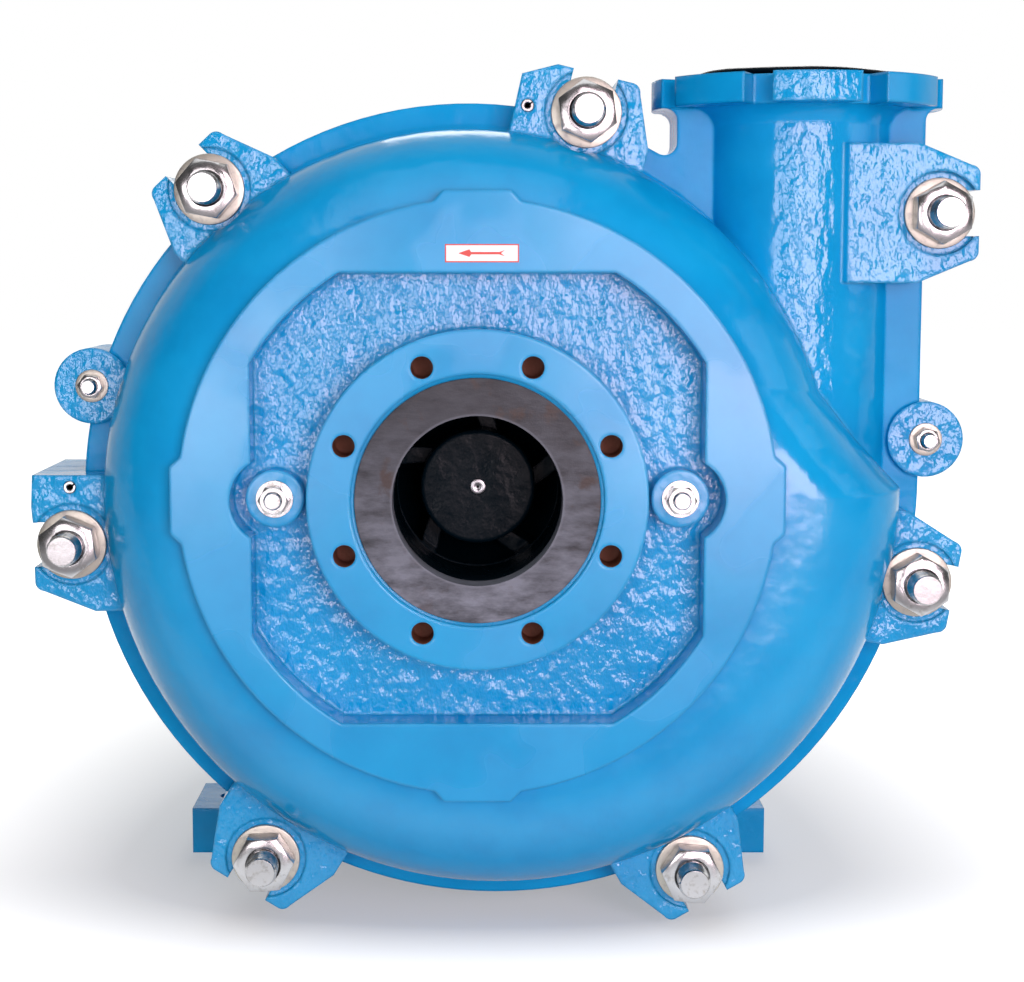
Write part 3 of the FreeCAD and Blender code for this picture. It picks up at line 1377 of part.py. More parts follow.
def check_and_export(nodes):
    """Refuse a failed feature or a bad shape, then write one STEP file for each node."""
    failed = [f"{item.Name} {item.State} {item.getStatusString()}" for item in document.Objects
              if "Invalid" in item.State or "Error" in item.State]
    if failed:
        raise RuntimeError("failed features: " + ", ".join(failed))
    for node in nodes:
        if node.Shape.isNull() or not node.Shape.isValid() or not node.Shape.Solids:
            raise RuntimeError("bad shape: " + node.Label)
    os.makedirs("parts", exist_ok=True)
    for node in nodes:
        node.Shape.exportStep(f"parts/{node.Label}.step")
        print(f"{node.Label}: {len(node.Shape.Solids)} solids, {node.Shape.Volume / 1000:.1f} cm3")


fill_sheet()
nodes = [
    make_cover_plate(), make_frame_plate(), *make_liners(), *make_wet_rings(), *make_shaft_seal(),
    *make_impeller(), make_shaft(), *make_shaft_rings(), *make_bearings(), *make_bearing_assembly(),
    make_frame_base(), *make_frame_fasteners(), *make_casing_fasteners(),
]
document.recompute()
check_and_export(nodes)
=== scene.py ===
"""Studio model of a rubber-lined slurry pump, dressed over its CAD frame."""

import math

import bmesh
import bpy
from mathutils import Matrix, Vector


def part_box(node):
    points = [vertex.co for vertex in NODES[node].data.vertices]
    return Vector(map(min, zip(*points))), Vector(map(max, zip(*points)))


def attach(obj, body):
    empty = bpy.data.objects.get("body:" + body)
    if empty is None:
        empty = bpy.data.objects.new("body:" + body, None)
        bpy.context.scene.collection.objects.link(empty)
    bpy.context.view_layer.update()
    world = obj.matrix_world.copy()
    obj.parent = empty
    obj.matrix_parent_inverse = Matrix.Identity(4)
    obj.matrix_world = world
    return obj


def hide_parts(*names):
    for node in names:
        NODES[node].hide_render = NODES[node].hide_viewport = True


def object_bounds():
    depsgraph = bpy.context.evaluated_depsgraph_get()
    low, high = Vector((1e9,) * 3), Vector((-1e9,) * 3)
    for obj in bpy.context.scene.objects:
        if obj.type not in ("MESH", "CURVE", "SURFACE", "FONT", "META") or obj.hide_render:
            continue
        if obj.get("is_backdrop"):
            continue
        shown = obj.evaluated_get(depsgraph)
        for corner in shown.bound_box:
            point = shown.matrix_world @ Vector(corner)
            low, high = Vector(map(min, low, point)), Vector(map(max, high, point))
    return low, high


bl_info = {
    "name": "Slurry Pump Studio",
    "version": (1, 0, 0),
    "blender": (4, 5, 0),
    "location": "View3D > Sidebar > Slurry Pump",
    "description": "Finishes, fasteners, rubber parts and studio for a horizontal slurry pump",
    "category": "Object",
}

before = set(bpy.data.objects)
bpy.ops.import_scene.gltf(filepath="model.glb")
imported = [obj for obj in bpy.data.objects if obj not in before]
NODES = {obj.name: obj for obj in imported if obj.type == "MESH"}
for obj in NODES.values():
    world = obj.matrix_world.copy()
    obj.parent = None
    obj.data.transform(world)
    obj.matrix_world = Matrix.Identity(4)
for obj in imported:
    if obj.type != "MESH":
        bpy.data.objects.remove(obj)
SIZES = {"cad": [list(map(float, corner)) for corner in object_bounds()]}
MM = 0.001


# ---------------------------------------------------------------- settings


def linear(text):
    """Turn an sRGB hex colour into the linear colour that shaders take."""
    parts = [int(text[at:at + 2], 16) / 255 for at in (1, 3, 5)]
    return tuple(part / 12.92 if part <= 0.04045 else ((part + 0.055) / 1.055) ** 2.4 for part in parts)


def colour_setting(name, description, text):
    return bpy.props.FloatVectorProperty(
        name=name, description=description, subtype="COLOR", size=3, min=0, max=1, default=linear(text))


def length_setting(name, description, millimetres):
    return bpy.props.FloatProperty(
        name=name, description=description, subtype="DISTANCE", unit="LENGTH", default=millimetres * MM)


class SlurryPumpFinishes(bpy.types.PropertyGroup):
    """Colours and surface sizes of the pump's finishes."""

    enamel: colour_setting("Enamel", "Main colour of the gloss enamel on the castings", "#0A98D2")
    enamel_pale: colour_setting("Thin enamel", "Enamel where it runs thin over raised grain", "#129FD8")
    enamel_deep: colour_setting("Thick enamel", "Enamel where it pools in hollows", "#068FCA")
    hole_rust: colour_setting("Hole rust", "Rusty bare iron inside the flange holes", "#7A4A38")
    chipped: colour_setting("Chipped edge", "Bare iron where a drill chipped the enamel", "#A98578")
    rubber: colour_setting("Rubber", "Moulded rubber that stays wet and clean", "#04121A")
    rubber_ring: colour_setting("Ring rubber", "Moulded rubber of the joint rings", "#10141D")
    # This grey colours the dust streaks, the painted reflection low on the rings and the rubbed inner lip.
    pale_ring_dust_and_sheen: colour_setting("Rubber dust", "Grey dust lying on the rubber rings", "#7B808C")
    rust_stain: colour_setting("Stain", "Brown water marks on the rubber rings", "#3C2C26")
    zinc: colour_setting("Zinc", "Zinc plating of the fasteners", "#B9B9BA")
    zinc_dull: colour_setting("Dull zinc", "Cloudy patches in the zinc plating", "#9A9894")
    passivate: colour_setting("Passivate", "Cream passivate of the flat washers", "#B4B1A6")
    skin: length_setting("Cast skin", "Width of one lump of the painted cast skin", 34.0)
    grain: length_setting("Brush grain", "Width of one mark left in the enamel by the brush", 3.2)
    pits: length_setting("Cast pits", "Width of one dent on the rough cast faces", 8.5)


class SlurryPumpFasteners(bpy.types.PropertyGroup):
    """Thread and label sizes."""

    joint_pitch: length_setting("Joint thread pitch", "Distance between threads of the joint studs", 3.5)
    pin_bore: length_setting("Pin bore", "Radius of the hole through a roll pin", 2.6)
    label_width: length_setting("Label width", "Width of the direction label", 65.0)
    label_height: length_setting("Label height", "Height of the direction label", 16.0)
    label_rise: length_setting("Label height above the shaft", "Centre of the label above the shaft", 219.0)


class SlurryPumpStage(bpy.types.PropertyGroup):
    """Floor, lamps and camera."""

    floor: colour_setting("Floor", "Colour of the floor", "#CDCECF")
    key_power: bpy.props.FloatProperty(
        name="Key power", description="Power of the large lamp overhead", unit="POWER", default=26.0)
    front_power: bpy.props.FloatProperty(
        name="Front power", description="Power of the wide lamp beside the camera", unit="POWER", default=72.0)
    window_power: bpy.props.FloatProperty(
        name="Window power", description="Power of the tall lamp on the left", unit="POWER", default=20.0)
    side_power: bpy.props.FloatProperty(
        name="Side power", description="Power of the right and rear lamps", unit="POWER", default=10.0)
    room_level: bpy.props.FloatProperty(
        name="Room level", description="Brightness of the room in front of the object", min=0, default=0.20)
    backdrop_level: bpy.props.FloatProperty(
        name="Backdrop level", description="Brightness of the white backdrop behind", min=0, default=1.0)
    lens: bpy.props.FloatProperty(
        name="Lens", description="Focal length of the camera", unit="CAMERA", default=72.39)


# ---------------------------------------------------------------- node helpers


def add(tree, kind, values=None, links=None, **settings):
    """Add one node with its settings, socket values and incoming links."""
    made = tree.nodes.new(kind)
    for name, value in settings.items():
        setattr(made, name, value)
    for socket, value in (values or {}).items():
        made.inputs[socket].default_value = value
    for socket, source in (links or {}).items():
        tree.links.new(source, made.inputs[socket])
    return made


def new_material(name):
    material = bpy.data.materials.new(name)
    material.use_nodes = True
    material.node_tree.nodes.clear()
    return material, material.node_tree


def ramp(tree, factor, stops):
    """A colour ramp from (position, colour) stops."""
    made = add(tree, "ShaderNodeValToRGB", links={"Fac": factor})
    made.color_ramp.elements[0].position = stops[0][0]
    made.color_ramp.elements[0].color = (*stops[0][1], 1)
    made.color_ramp.elements[1].position = stops[-1][0]
    made.color_ramp.elements[1].color = (*stops[-1][1], 1)
    for position, colour in stops[1:-1]:
        made.color_ramp.elements.new(position).color = (*colour, 1)
    return made.outputs["Color"]


def band(tree, value, low, high, start=0.0, end=1.0):
    """A clamped change from start to end as value goes from low to high."""
    return add(tree, "ShaderNodeMapRange", {"From Min": low, "From Max": high, "To Min": start, "To Max": end},
               {"Value": value}).outputs["Result"]


def times(tree, first, second):
    made = add(tree, "ShaderNodeMath", links={0: first}, operation="MULTIPLY")
    if isinstance(second, (int, float)):
        made.inputs[1].default_value = second
    else:
        tree.links.new(second, made.inputs[1])
    return made.outputs[0]


def noise(tree, place, width, detail=3.0, roughness=0.5):
    """Noise whose lumps are about the given width in metres."""
    return add(tree, "ShaderNodeTexNoise", {"Scale": 1 / width, "Detail": detail, "Roughness": roughness},
               {"Vector": place}).outputs["Fac"]


def bump(tree, height, depth, normal=None):
    """Raise the surface by the height signal times a depth in metres."""
    links = {"Height": height}
    if normal is not None:
        links["Normal"] = normal
    return add(tree, "ShaderNodeBump", {"Strength": 1.0, "Distance": depth}, links).outputs["Normal"]


def finish_shader(tree, values, links):
    """The principled shader and its output."""
    shader = add(tree, "ShaderNodeBsdfPrincipled", values, links)
    add(tree, "ShaderNodeOutputMaterial", links={"Surface": shader.outputs["BSDF"]})
    return shader


# ---------------------------------------------------------------- materials


def product(tree, *factors):
    """Several masks multiplied together."""
    result = factors[0]
    for factor in factors[1:]:
        result = times(tree, result, factor)
    return result


def mixed(tree, factor, first, second):
    """Blend two colours or numbers by a factor."""
    made = add(tree, "ShaderNodeMix", links={0: factor}, data_type="RGBA")
    for socket, item in ((6, first), (7, second)):
        if isinstance(item, tuple):
            made.inputs[socket].default_value = (*item, 1)
        else:
            tree.links.new(item, made.inputs[socket])
    return made.outputs[2]


def from_shaft(tree, place):
    """Distance from the shaft's axis."""
    flat = add(tree, "ShaderNodeVectorMath", {1: (1, 0, 1)}, {0: place}, operation="MULTIPLY")
    return add(tree, "ShaderNodeVectorMath", links={0: flat.outputs[0]}, operation="LENGTH").outputs["Value"]


def stretched(tree, place, scale):
    """Coordinates scaled by axis, so that a pattern runs in streaks."""
    return add(tree, "ShaderNodeVectorMath", {1: scale}, {0: place}, operation="MULTIPLY").outputs[0]


def cast_enamel(name, settings, front_casting=False, edge=4.5):
    """Gloss enamel brushed over sand-cast iron.

    The casting's smooth walls carry a shallow skin and faint brush marks. On the front
    casting the rough cast faces are hammered, the turned ring and flange are flat and
    half matt, and the flange holes are bare and rusty.
    """
    material, tree = new_material(name)
    place = add(tree, "ShaderNodeTexCoord").outputs["Object"]
    split = add(tree, "ShaderNodeSeparateXYZ", links={"Vector": place})
    facing = add(tree, "ShaderNodeSeparateXYZ", links={
        "Vector": add(tree, "ShaderNodeNewGeometry").outputs["Normal"]})
    cloud = noise(tree, place, 90 * MM, 4.0, 0.55)
    tint = ramp(tree, cloud, [
        (0.30, tuple(settings.enamel_deep)), (0.50, tuple(settings.enamel)), (0.75, tuple(settings.enamel_pale))])
    normal = add(tree, "ShaderNodeBevel", {"Radius": edge * MM}, samples=6).outputs["Normal"]
    skin = noise(tree, place, settings.skin, 2.0)
    brush = noise(tree, stretched(tree, place, (1.0, 1.0, 0.35)), settings.grain, 3.0, 0.6)
    gloss = band(tree, noise(tree, place, 40 * MM, 3.0), 0.35, 0.65, 0.12, 0.20)
    if not front_casting:
        normal = bump(tree, skin, 1.2 * MM, normal)
        normal = bump(tree, brush, 0.10 * MM, normal)
        finish_shader(tree, {"IOR": 1.5, "Specular IOR Level": 0.25}, {
            "Base Color": tint, "Roughness": times(tree, gloss, 1.6), "Normal": normal})
        return material
    # Front faces in the recess and on the lugs, ears and neck keep the hammered sand-cast skin.
    front = band(tree, facing.outputs["Y"], -0.985, -0.93, 1.0, 0.0)
    rough = product(tree, front, band(tree, split.outputs["Y"], 30 * MM, 38 * MM),
                    band(tree, split.outputs["Y"], 143.5 * MM, 146 * MM, 1.0, 0.0))
    turned = product(tree, band(tree, split.outputs["Y"], 3.4 * MM, 4.4 * MM, 1.0, 0.0),
                     band(tree, facing.outputs["Y"], -0.99, -0.9, 1.0, 0.0))
    calm = band(tree, turned, 0.0, 1.0, 1.0, 0.06)
    wrinkled = stretched(tree, place, (1.0, 1.0, 0.68))
    dents = add(tree, "ShaderNodeTexVoronoi", {"Scale": 1 / settings.pits, "Smoothness": 0.9}, {
        "Vector": wrinkled}, feature="SMOOTH_F1").outputs["Distance"]
    swell = noise(tree, wrinkled, settings.pits * 1.4, 3.0, 0.5)
    normal = bump(tree, times(tree, skin, calm), 1.2 * MM, normal)
    normal = bump(tree, times(tree, brush, calm), 0.10 * MM, normal)
    normal = bump(tree, times(tree, dents, rough), 1.0 * MM, normal)
    normal = bump(tree, times(tree, swell, rough), 3.0 * MM, normal)
    # Faces that look forward carry a second, glossier coat, but for the joint flange behind them.
    second = times(tree, band(tree, facing.outputs["Y"], -0.97, -0.80, 0.60, 0.20),
                   band(tree, split.outputs["Y"], 143.5 * MM, 146 * MM, 1.0, 0.2))
    gloss = times(tree, gloss, band(tree, rough, 0.0, 1.0, 1.0, 0.65))
    # Every bare surface between the bolt circle's edges and behind the flange face is in a hole.
    radius = from_shaft(tree, place)
    on_circle = product(tree, band(tree, radius, 117 * MM, 118 * MM), band(tree, radius, 139 * MM, 140 * MM, 1.0, 0.0))
    sunk = band(tree, split.outputs["Y"], 0.4 * MM, 1.6 * MM)
    in_hole = product(tree, on_circle, sunk)
    ragged = band(tree, noise(tree, place, 5 * MM, 3.0), 0.45, 0.55)
    lip = product(tree, on_circle, band(tree, split.outputs["Y"], 0.05 * MM, 0.3 * MM), ragged)
    tint = mixed(tree, lip, tint, tuple(settings.chipped))
    tint = mixed(tree, in_hole, tint, tuple(settings.hole_rust))
    # The turned ring is half matt; handling has polished a few broad patches of it.
    patch = band(tree, noise(tree, place, 120 * MM, 2.0, 0.4), 0.47, 0.52, 0.30, 0.20)
    gloss = add(tree, "ShaderNodeMix", links={0: turned, 2: gloss, 3: patch}, data_type="FLOAT").outputs[0]
    gloss = add(tree, "ShaderNodeMix", {3: 0.8}, {0: in_hole, 2: gloss}, data_type="FLOAT").outputs[0]
    finish_shader(tree, {"IOR": 1.5}, {
        "Base Color": tint, "Roughness": gloss, "Specular IOR Level": second, "Normal": normal})
    return material


def clean_rubber(name, settings):
    """Black natural rubber of the wet parts, smooth from its mould with a wet gloss."""
    material, tree = new_material(name)
    place = add(tree, "ShaderNodeTexCoord").outputs["Object"]
    rounded = add(tree, "ShaderNodeBevel", {"Radius": 3 * MM}, samples=4).outputs["Normal"]
    normal = bump(tree, noise(tree, place, 22 * MM, 3.0), 1.6 * MM, rounded)
    normal = bump(tree, noise(tree, place, 2.4 * MM, 2.0), 0.10 * MM, normal)
    gloss = band(tree, noise(tree, place, 30 * MM, 4.0), 0.35, 0.65, 0.16, 0.34)
    finish_shader(tree, {"Base Color": (*settings.rubber, 1), "IOR": 1.5, "Specular IOR Level": 0.08}, {
        "Roughness": gloss, "Normal": normal})
    return material


def ring_rubber(name, settings):
    """Moulded rubber of the joint rings, smeared with grey dust; the paler grey towards the bottom is a painted
    reflection.
    """
    material, tree = new_material(name)
    place = add(tree, "ShaderNodeTexCoord").outputs["Object"]
    split = add(tree, "ShaderNodeSeparateXYZ", links={"Vector": place})
    radius = from_shaft(tree, place)
    smear = noise(tree, stretched(tree, place, (0.35, 1.0, 1.0)), 16 * MM, 6.0, 0.65)
    # Painted reflection: the grey is laid on thicker towards the bottom to paint the lamp's reflection on the lower
    # ring; the streaks themselves are dust.
    painted_low_sheen = band(tree, split.outputs["Z"], -95 * MM, 70 * MM, 1.0, 0.18)
    dust_and_painted_sheen = times(tree, band(tree, smear, 0.30, 0.62), painted_low_sheen)
    tint = mixed(tree, dust_and_painted_sheen, tuple(settings.rubber_ring), tuple(settings.pale_ring_dust_and_sheen))
    stain = product(tree, band(tree, noise(tree, place, 30 * MM, 5.0, 0.6), 0.56, 0.66),
                    band(tree, split.outputs["Z"], -40 * MM, 20 * MM, 0.4, 0.8))
    tint = mixed(tree, stain, tint, tuple(settings.rust_stain))
    # The moulded inner lip is rubbed paler all the way round.
    inner = product(tree, band(tree, radius, 76.5 * MM, 78.5 * MM, 1.0, 0.0), band(tree, radius, 74 * MM, 75 * MM))
    tint = mixed(tree, times(tree, inner, 0.5), tint, tuple(settings.pale_ring_dust_and_sheen))
    rounded = add(tree, "ShaderNodeBevel", {"Radius": 2 * MM}, samples=4).outputs["Normal"]
    normal = bump(tree, smear, 0.7 * MM, rounded)
    normal = bump(tree, noise(tree, place, 1.6 * MM, 2.0), 0.10 * MM, normal)
    finish_shader(tree, {"IOR": 1.5, "Specular IOR Level": 0.3}, {
        "Base Color": tint, "Roughness": band(tree, dust_and_painted_sheen, 0.0, 1.0, 0.34, 0.75), "Normal": normal})
    return material


def zinc_plating(name, settings, cream=False):
    """Bright zinc plate, cloudy in places; washers carry a cream passivate and are less bright."""
    material, tree = new_material(name)
    place = add(tree, "ShaderNodeTexCoord").outputs["Object"]
    cloud = noise(tree, place, 7 * MM, 4.0, 0.6)
    bright = tuple(settings.passivate) if cream else tuple(settings.zinc)
    tint = ramp(tree, cloud, [(0.28, tuple(settings.zinc_dull)), (0.46, bright), (0.75, bright)])
    rounded = add(tree, "ShaderNodeBevel", {"Radius": 0.9 * MM}, samples=4).outputs["Normal"]
    normal = bump(tree, noise(tree, place, 1.6 * MM, 3.0), 0.02 * MM, rounded)
    normal = bump(tree, noise(tree, place, 9 * MM, 2.0), 0.06 * MM, normal)
    rough = band(tree, cloud, 0.3, 0.7, 0.42, 0.32) if cream else band(tree, cloud, 0.3, 0.7, 0.26, 0.16)
    finish_shader(tree, {"Metallic": 0.75 if cream else 1.0}, {
        "Base Color": tint, "Roughness": rough, "Normal": normal})
    return material


def turned_steel(name):
    """Lathe-turned and ground carbon steel: fine rings round the shaft and a light oil film."""
    material, tree = new_material(name)
    place = add(tree, "ShaderNodeTexCoord").outputs["Object"]
    # Real tool marks are 0.2 mm apart; they are drawn at 1.2 mm so that they show.
    rings = add(tree, "ShaderNodeTexWave", {"Scale": math.tau / (20 * 1.2 * MM), "Distortion": 0.4, "Detail": 1.0},
                {"Vector": place}, wave_type="BANDS", bands_direction="Y").outputs["Fac"]
    cloud = noise(tree, place, 22 * MM, 3.0)
    tint = ramp(tree, cloud, [(0.3, linear("#8E9094")), (0.7, linear("#B4B5B7"))])
    rounded = add(tree, "ShaderNodeBevel", {"Radius": 0.8 * MM}, samples=4).outputs["Normal"]
    normal = bump(tree, rings, 0.05 * MM, rounded)
    finish_shader(tree, {"Metallic": 1.0}, {
        "Base Color": tint, "Roughness": band(tree, cloud, 0.3, 0.7, 0.24, 0.40), "Normal": normal})
    return material


def bare_metal(name, dark, light, metallic, low, high):
    """Bare cast or pressed metal with a fine even grain."""
    material, tree = new_material(name)
    place = add(tree, "ShaderNodeTexCoord").outputs["Object"]
    cloud = noise(tree, place, 12 * MM, 5.0, 0.6)
    tint = ramp(tree, cloud, [(0.3, linear(dark)), (0.7, linear(light))])
    rounded = add(tree, "ShaderNodeBevel", {"Radius": 1 * MM}, samples=4).outputs["Normal"]
    normal = bump(tree, noise(tree, place, 2.5 * MM, 3.0), 0.25 * MM, rounded)
    finish_shader(tree, {"Metallic": metallic}, {
        "Base Color": tint, "Roughness": band(tree, cloud, 0.3, 0.7, low, high), "Normal": normal})
    return material


def braided_packing(name):
    """Square braided graphite packing: dark yarns crossing at an angle with a greasy sheen."""
    material, tree = new_material(name)
    place = add(tree, "ShaderNodeTexCoord").outputs["Object"]
    weave = add(tree, "ShaderNodeTexChecker", {
        "Scale": 1 / (3 * MM), "Color1": (*linear("#2B2B2C"), 1), "Color2": (*linear("#474747"), 1)},
        {"Vector": place})
    normal = bump(tree, weave.outputs["Fac"], 0.4 * MM)
    finish_shader(tree, {"Roughness": 0.5}, {"Base Color": weave.outputs["Color"], "Normal": normal})
    return material


def plain_paint(name, text, roughness):
    """A flat printed or painted colour."""
    material, tree = new_material(name)
    place = add(tree, "ShaderNodeTexCoord").outputs["Object"]
    normal = bump(tree, noise(tree, place, 3 * MM, 2.0), 0.05 * MM)
    finish_shader(tree, {"Base Color": (*linear(text), 1), "Roughness": roughness}, {"Normal": normal})
    return material


def dress(material, *names):
    """Give CAD nodes a material."""
    for name in names:
        slots = NODES[name].data.materials
        slots.clear()
        slots.append(material)


# ---------------------------------------------------------------- piece helpers


def islands(name):
    """Centre and box of each separate solid in a CAD node."""
    work = bmesh.new()
    work.from_mesh(NODES[name].data)
    bmesh.ops.remove_doubles(work, verts=work.verts, dist=1e-6)
    found, seen = [], set()
    for start in work.verts:
        if start in seen:
            continue
        seen.add(start)
        group, queue = [], [start]
        while queue:
            vertex = queue.pop()
            group.append(vertex.co.copy())
            for edge in vertex.link_edges:
                other = edge.other_vert(vertex)
                if other not in seen:
                    seen.add(other)
                    queue.append(other)
        low = Vector([min(point[axis] for point in group) for axis in range(3)])
        high = Vector([max(point[axis] for point in group) for axis in range(3)])
        found.append(((low + high) / 2, low, high))
    work.free()
    return sorted(found, key=lambda item: tuple(round(number, 5) for number in item[0]))


def piece(name, mesh, material, body, slot, *nodes):
    """Put a finished mesh in the scene, ride it on its body and let it stand for its CAD nodes."""
    mesh.name = name
    if material is not None:
        mesh.materials.clear()
        mesh.materials.append(material)
    mesh.shade_smooth()
    mesh.set_sharp_from_angle(angle=math.radians(38))
    made = bpy.data.objects.new(name, mesh)
    bpy.context.scene.collection.objects.link(made)
    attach(made, body)
    if nodes:
        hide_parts(*nodes)
    return made


# ---------------------------------------------------------------- fastener node trees


def group_tree(name, sizes):
    """A geometry node group with named length inputs, a seed and a material."""
    tree = bpy.data.node_groups.new(name, "GeometryNodeTree")
    face = tree.interface
    face.new_socket(name="Geometry", in_out="INPUT", socket_type="NodeSocketGeometry")
    for title in sizes:
        face.new_socket(name=title, in_out="INPUT", socket_type="NodeSocketFloat")
    face.new_socket(name="Turn", in_out="INPUT", socket_type="NodeSocketVector")
    face.new_socket(name="Seed", in_out="INPUT", socket_type="NodeSocketInt")
    face.new_socket(name="Material", in_out="INPUT", socket_type="NodeSocketMaterial")
    face.new_socket(name="Geometry", in_out="OUTPUT", socket_type="NodeSocketGeometry")
    start = add(tree, "NodeGroupInput").outputs
    return tree, start


def compute(tree, operation, first, second=0.0):
    """One arithmetic step on sockets or plain numbers."""
    made = add(tree, "ShaderNodeMath", operation=operation)
    for slot, item in enumerate((first, second)):
        if isinstance(item, (int, float)):
            made.inputs[slot].default_value = item
        else:
            tree.links.new(item, made.inputs[slot])
    return made.outputs[0]


def shifted(tree, geometry, height):
    """Move geometry along Z by a socket or a number."""
    offset = add(tree, "ShaderNodeCombineXYZ")
    if isinstance(height, (int, float)):
        offset.inputs["Z"].default_value = height
    else:
        tree.links.new(height, offset.inputs["Z"])
    return add(tree, "GeometryNodeTransform", links={
        "Geometry": geometry, "Translation": offset.outputs[0]}).outputs[0]


def placed_tree(tree, start, shape):
    """Instance a shape on the input's points, each spun by a seeded amount, and end the tree."""
    spin = add(tree, "FunctionNodeRandomValue", {2: 0.0, 3: math.tau}, {"Seed": start["Seed"]}, data_type="FLOAT")
    about = add(tree, "ShaderNodeCombineXYZ", links={"Z": spin.outputs[1]})
    instances = add(tree, "GeometryNodeInstanceOnPoints", links={
        "Points": start["Geometry"], "Instance": shape, "Rotation": start["Turn"]})
    spun = add(tree, "GeometryNodeRotateInstances", links={
        "Instances": instances.outputs[0], "Rotation": about.outputs[0]})
    real = add(tree, "GeometryNodeRealizeInstances", links={"Geometry": spun.outputs[0]})
    coated = add(tree, "GeometryNodeSetMaterial", links={
        "Geometry": real.outputs[0], "Material": start["Material"]})
    add(tree, "NodeGroupOutput", links={"Geometry": coated.outputs[0]})
    return tree


def stud_tree():
    """A stud with a real helical thread: a core, two plain unthreaded ends and one ridge wound round it."""
    tree, start = group_tree("Threaded stud", ("Radius", "Length", "Pitch"))
    radius, length, pitch = start["Radius"], start["Length"], start["Pitch"]
    depth = compute(tree, "MULTIPLY", pitch, 0.54)
    core = compute(tree, "SUBTRACT", radius, depth)
    ends = compute(tree, "MULTIPLY", pitch, 0.9)
    middle = compute(tree, "SUBTRACT", length, compute(tree, "MULTIPLY", ends, 2.0))
    bar = add(tree, "GeometryNodeMeshCylinder", {"Vertices": 28, "Side Segments": 1}, {
        "Radius": core, "Depth": length})
    bar_up = shifted(tree, bar.outputs["Mesh"], compute(tree, "MULTIPLY", length, 0.5))
    turns = compute(tree, "DIVIDE", middle, pitch)
    helix = add(tree, "GeometryNodeCurveSpiral", {"Resolution": 22}, {
        "Rotations": turns, "Start Radius": core, "End Radius": core, "Height": middle})
    upright = add(tree, "GeometryNodeSetCurveNormal", links={"Curve": helix.outputs["Curve"]}, mode="Z_UP")
    ridge = add(tree, "GeometryNodeCurvePrimitiveCircle", {"Resolution": 4}, {"Radius": depth})
    thread = add(tree, "GeometryNodeCurveToMesh", {"Fill Caps": True}, {
        "Curve": upright.outputs[0], "Profile Curve": ridge.outputs["Curve"]})
    thread_up = shifted(tree, thread.outputs["Mesh"], ends)
    joined = add(tree, "GeometryNodeJoinGeometry")
    for part in (thread_up, bar_up):
        tree.links.new(part, joined.inputs["Geometry"])
    return placed_tree(tree, start, joined.outputs["Geometry"])


def nut_tree():
    """A hexagon nut with coned corners at both ends and a countersunk bore."""
    tree, start = group_tree("Hexagon nut", ("Flats", "Thickness", "Bore"))
    flats, thick, bore = start["Flats"], start["Thickness"], start["Bore"]
    half = compute(tree, "MULTIPLY", thick, 0.5)
    prism = add(tree, "GeometryNodeMeshCylinder", {"Vertices": 6}, {
        "Radius": compute(tree, "MULTIPLY", flats, 1 / math.sqrt(3)), "Depth": thick})
    narrow = compute(tree, "MULTIPLY", flats, 0.48)
    wide = compute(tree, "ADD", narrow, compute(tree, "MULTIPLY", thick, math.sqrt(3)))
    shape = shifted(tree, prism.outputs["Mesh"], half)
    for top, bottom in ((narrow, wide), (wide, narrow)):
        cone = add(tree, "GeometryNodeMeshCone", {"Vertices": 64}, {
            "Radius Top": top, "Radius Bottom": bottom, "Depth": thick})
        both = add(tree, "GeometryNodeMeshBoolean", operation="INTERSECT", solver="EXACT")
        tree.links.new(shape, both.inputs["Mesh 2"])
        tree.links.new(cone.outputs["Mesh"], both.inputs["Mesh 2"])
        shape = both.outputs["Mesh"]
    sink = compute(tree, "MULTIPLY", bore, 1.12)
    drill = add(tree, "GeometryNodeMeshCone", {"Vertices": 48, "Radius Top": 0.0}, {
        "Radius Bottom": sink, "Depth": sink})
    hollow = add(tree, "GeometryNodeMeshBoolean", operation="DIFFERENCE", solver="EXACT", links={
        "Mesh 1": shape, "Mesh 2": drill.outputs["Mesh"]})
    return placed_tree(tree, start, hollow.outputs["Mesh"])


def washer_tree():
    """A flat washer with slightly eased rims."""
    tree, start = group_tree("Flat washer", ("Radius", "Thickness", "Bore"))
    radius, thick, bore = start["Radius"], start["Thickness"], start["Bore"]
    ease = compute(tree, "MULTIPLY", thick, 0.14)
    middle = compute(tree, "MULTIPLY", compute(tree, "ADD", radius, bore), 0.5)
    path = add(tree, "GeometryNodeCurvePrimitiveCircle", {"Resolution": 72}, {"Radius": middle})
    section = add(tree, "GeometryNodeCurvePrimitiveQuadrilateral", links={
        "Width": compute(tree, "SUBTRACT", radius, bore), "Height": thick})
    eased = add(tree, "GeometryNodeFilletCurve", {"Count": 2}, {
        "Curve": section.outputs["Curve"], "Radius": ease}, mode="POLY")
    disc = add(tree, "GeometryNodeCurveToMesh", links={
        "Curve": path.outputs["Curve"], "Profile Curve": eased.outputs["Curve"]})
    return placed_tree(tree, start, shifted(tree, disc.outputs["Mesh"], compute(tree, "MULTIPLY", thick, 0.5)))


TREES = {"stud": stud_tree, "nut": nut_tree, "washer": washer_tree}
TURNS = {
    # way the fastener's own +Z points in the pump
    "+Y": (-math.pi / 2, 0.0, 0.0),
    "-Y": (math.pi / 2, 0.0, 0.0),
    "+Z": (0.0, 0.0, 0.0),
}


def tree_of(kind):
    made = bpy.data.node_groups.get({"stud": "Threaded stud", "nut": "Hexagon nut", "washer": "Flat washer"}[kind])
    return made or TREES[kind]()


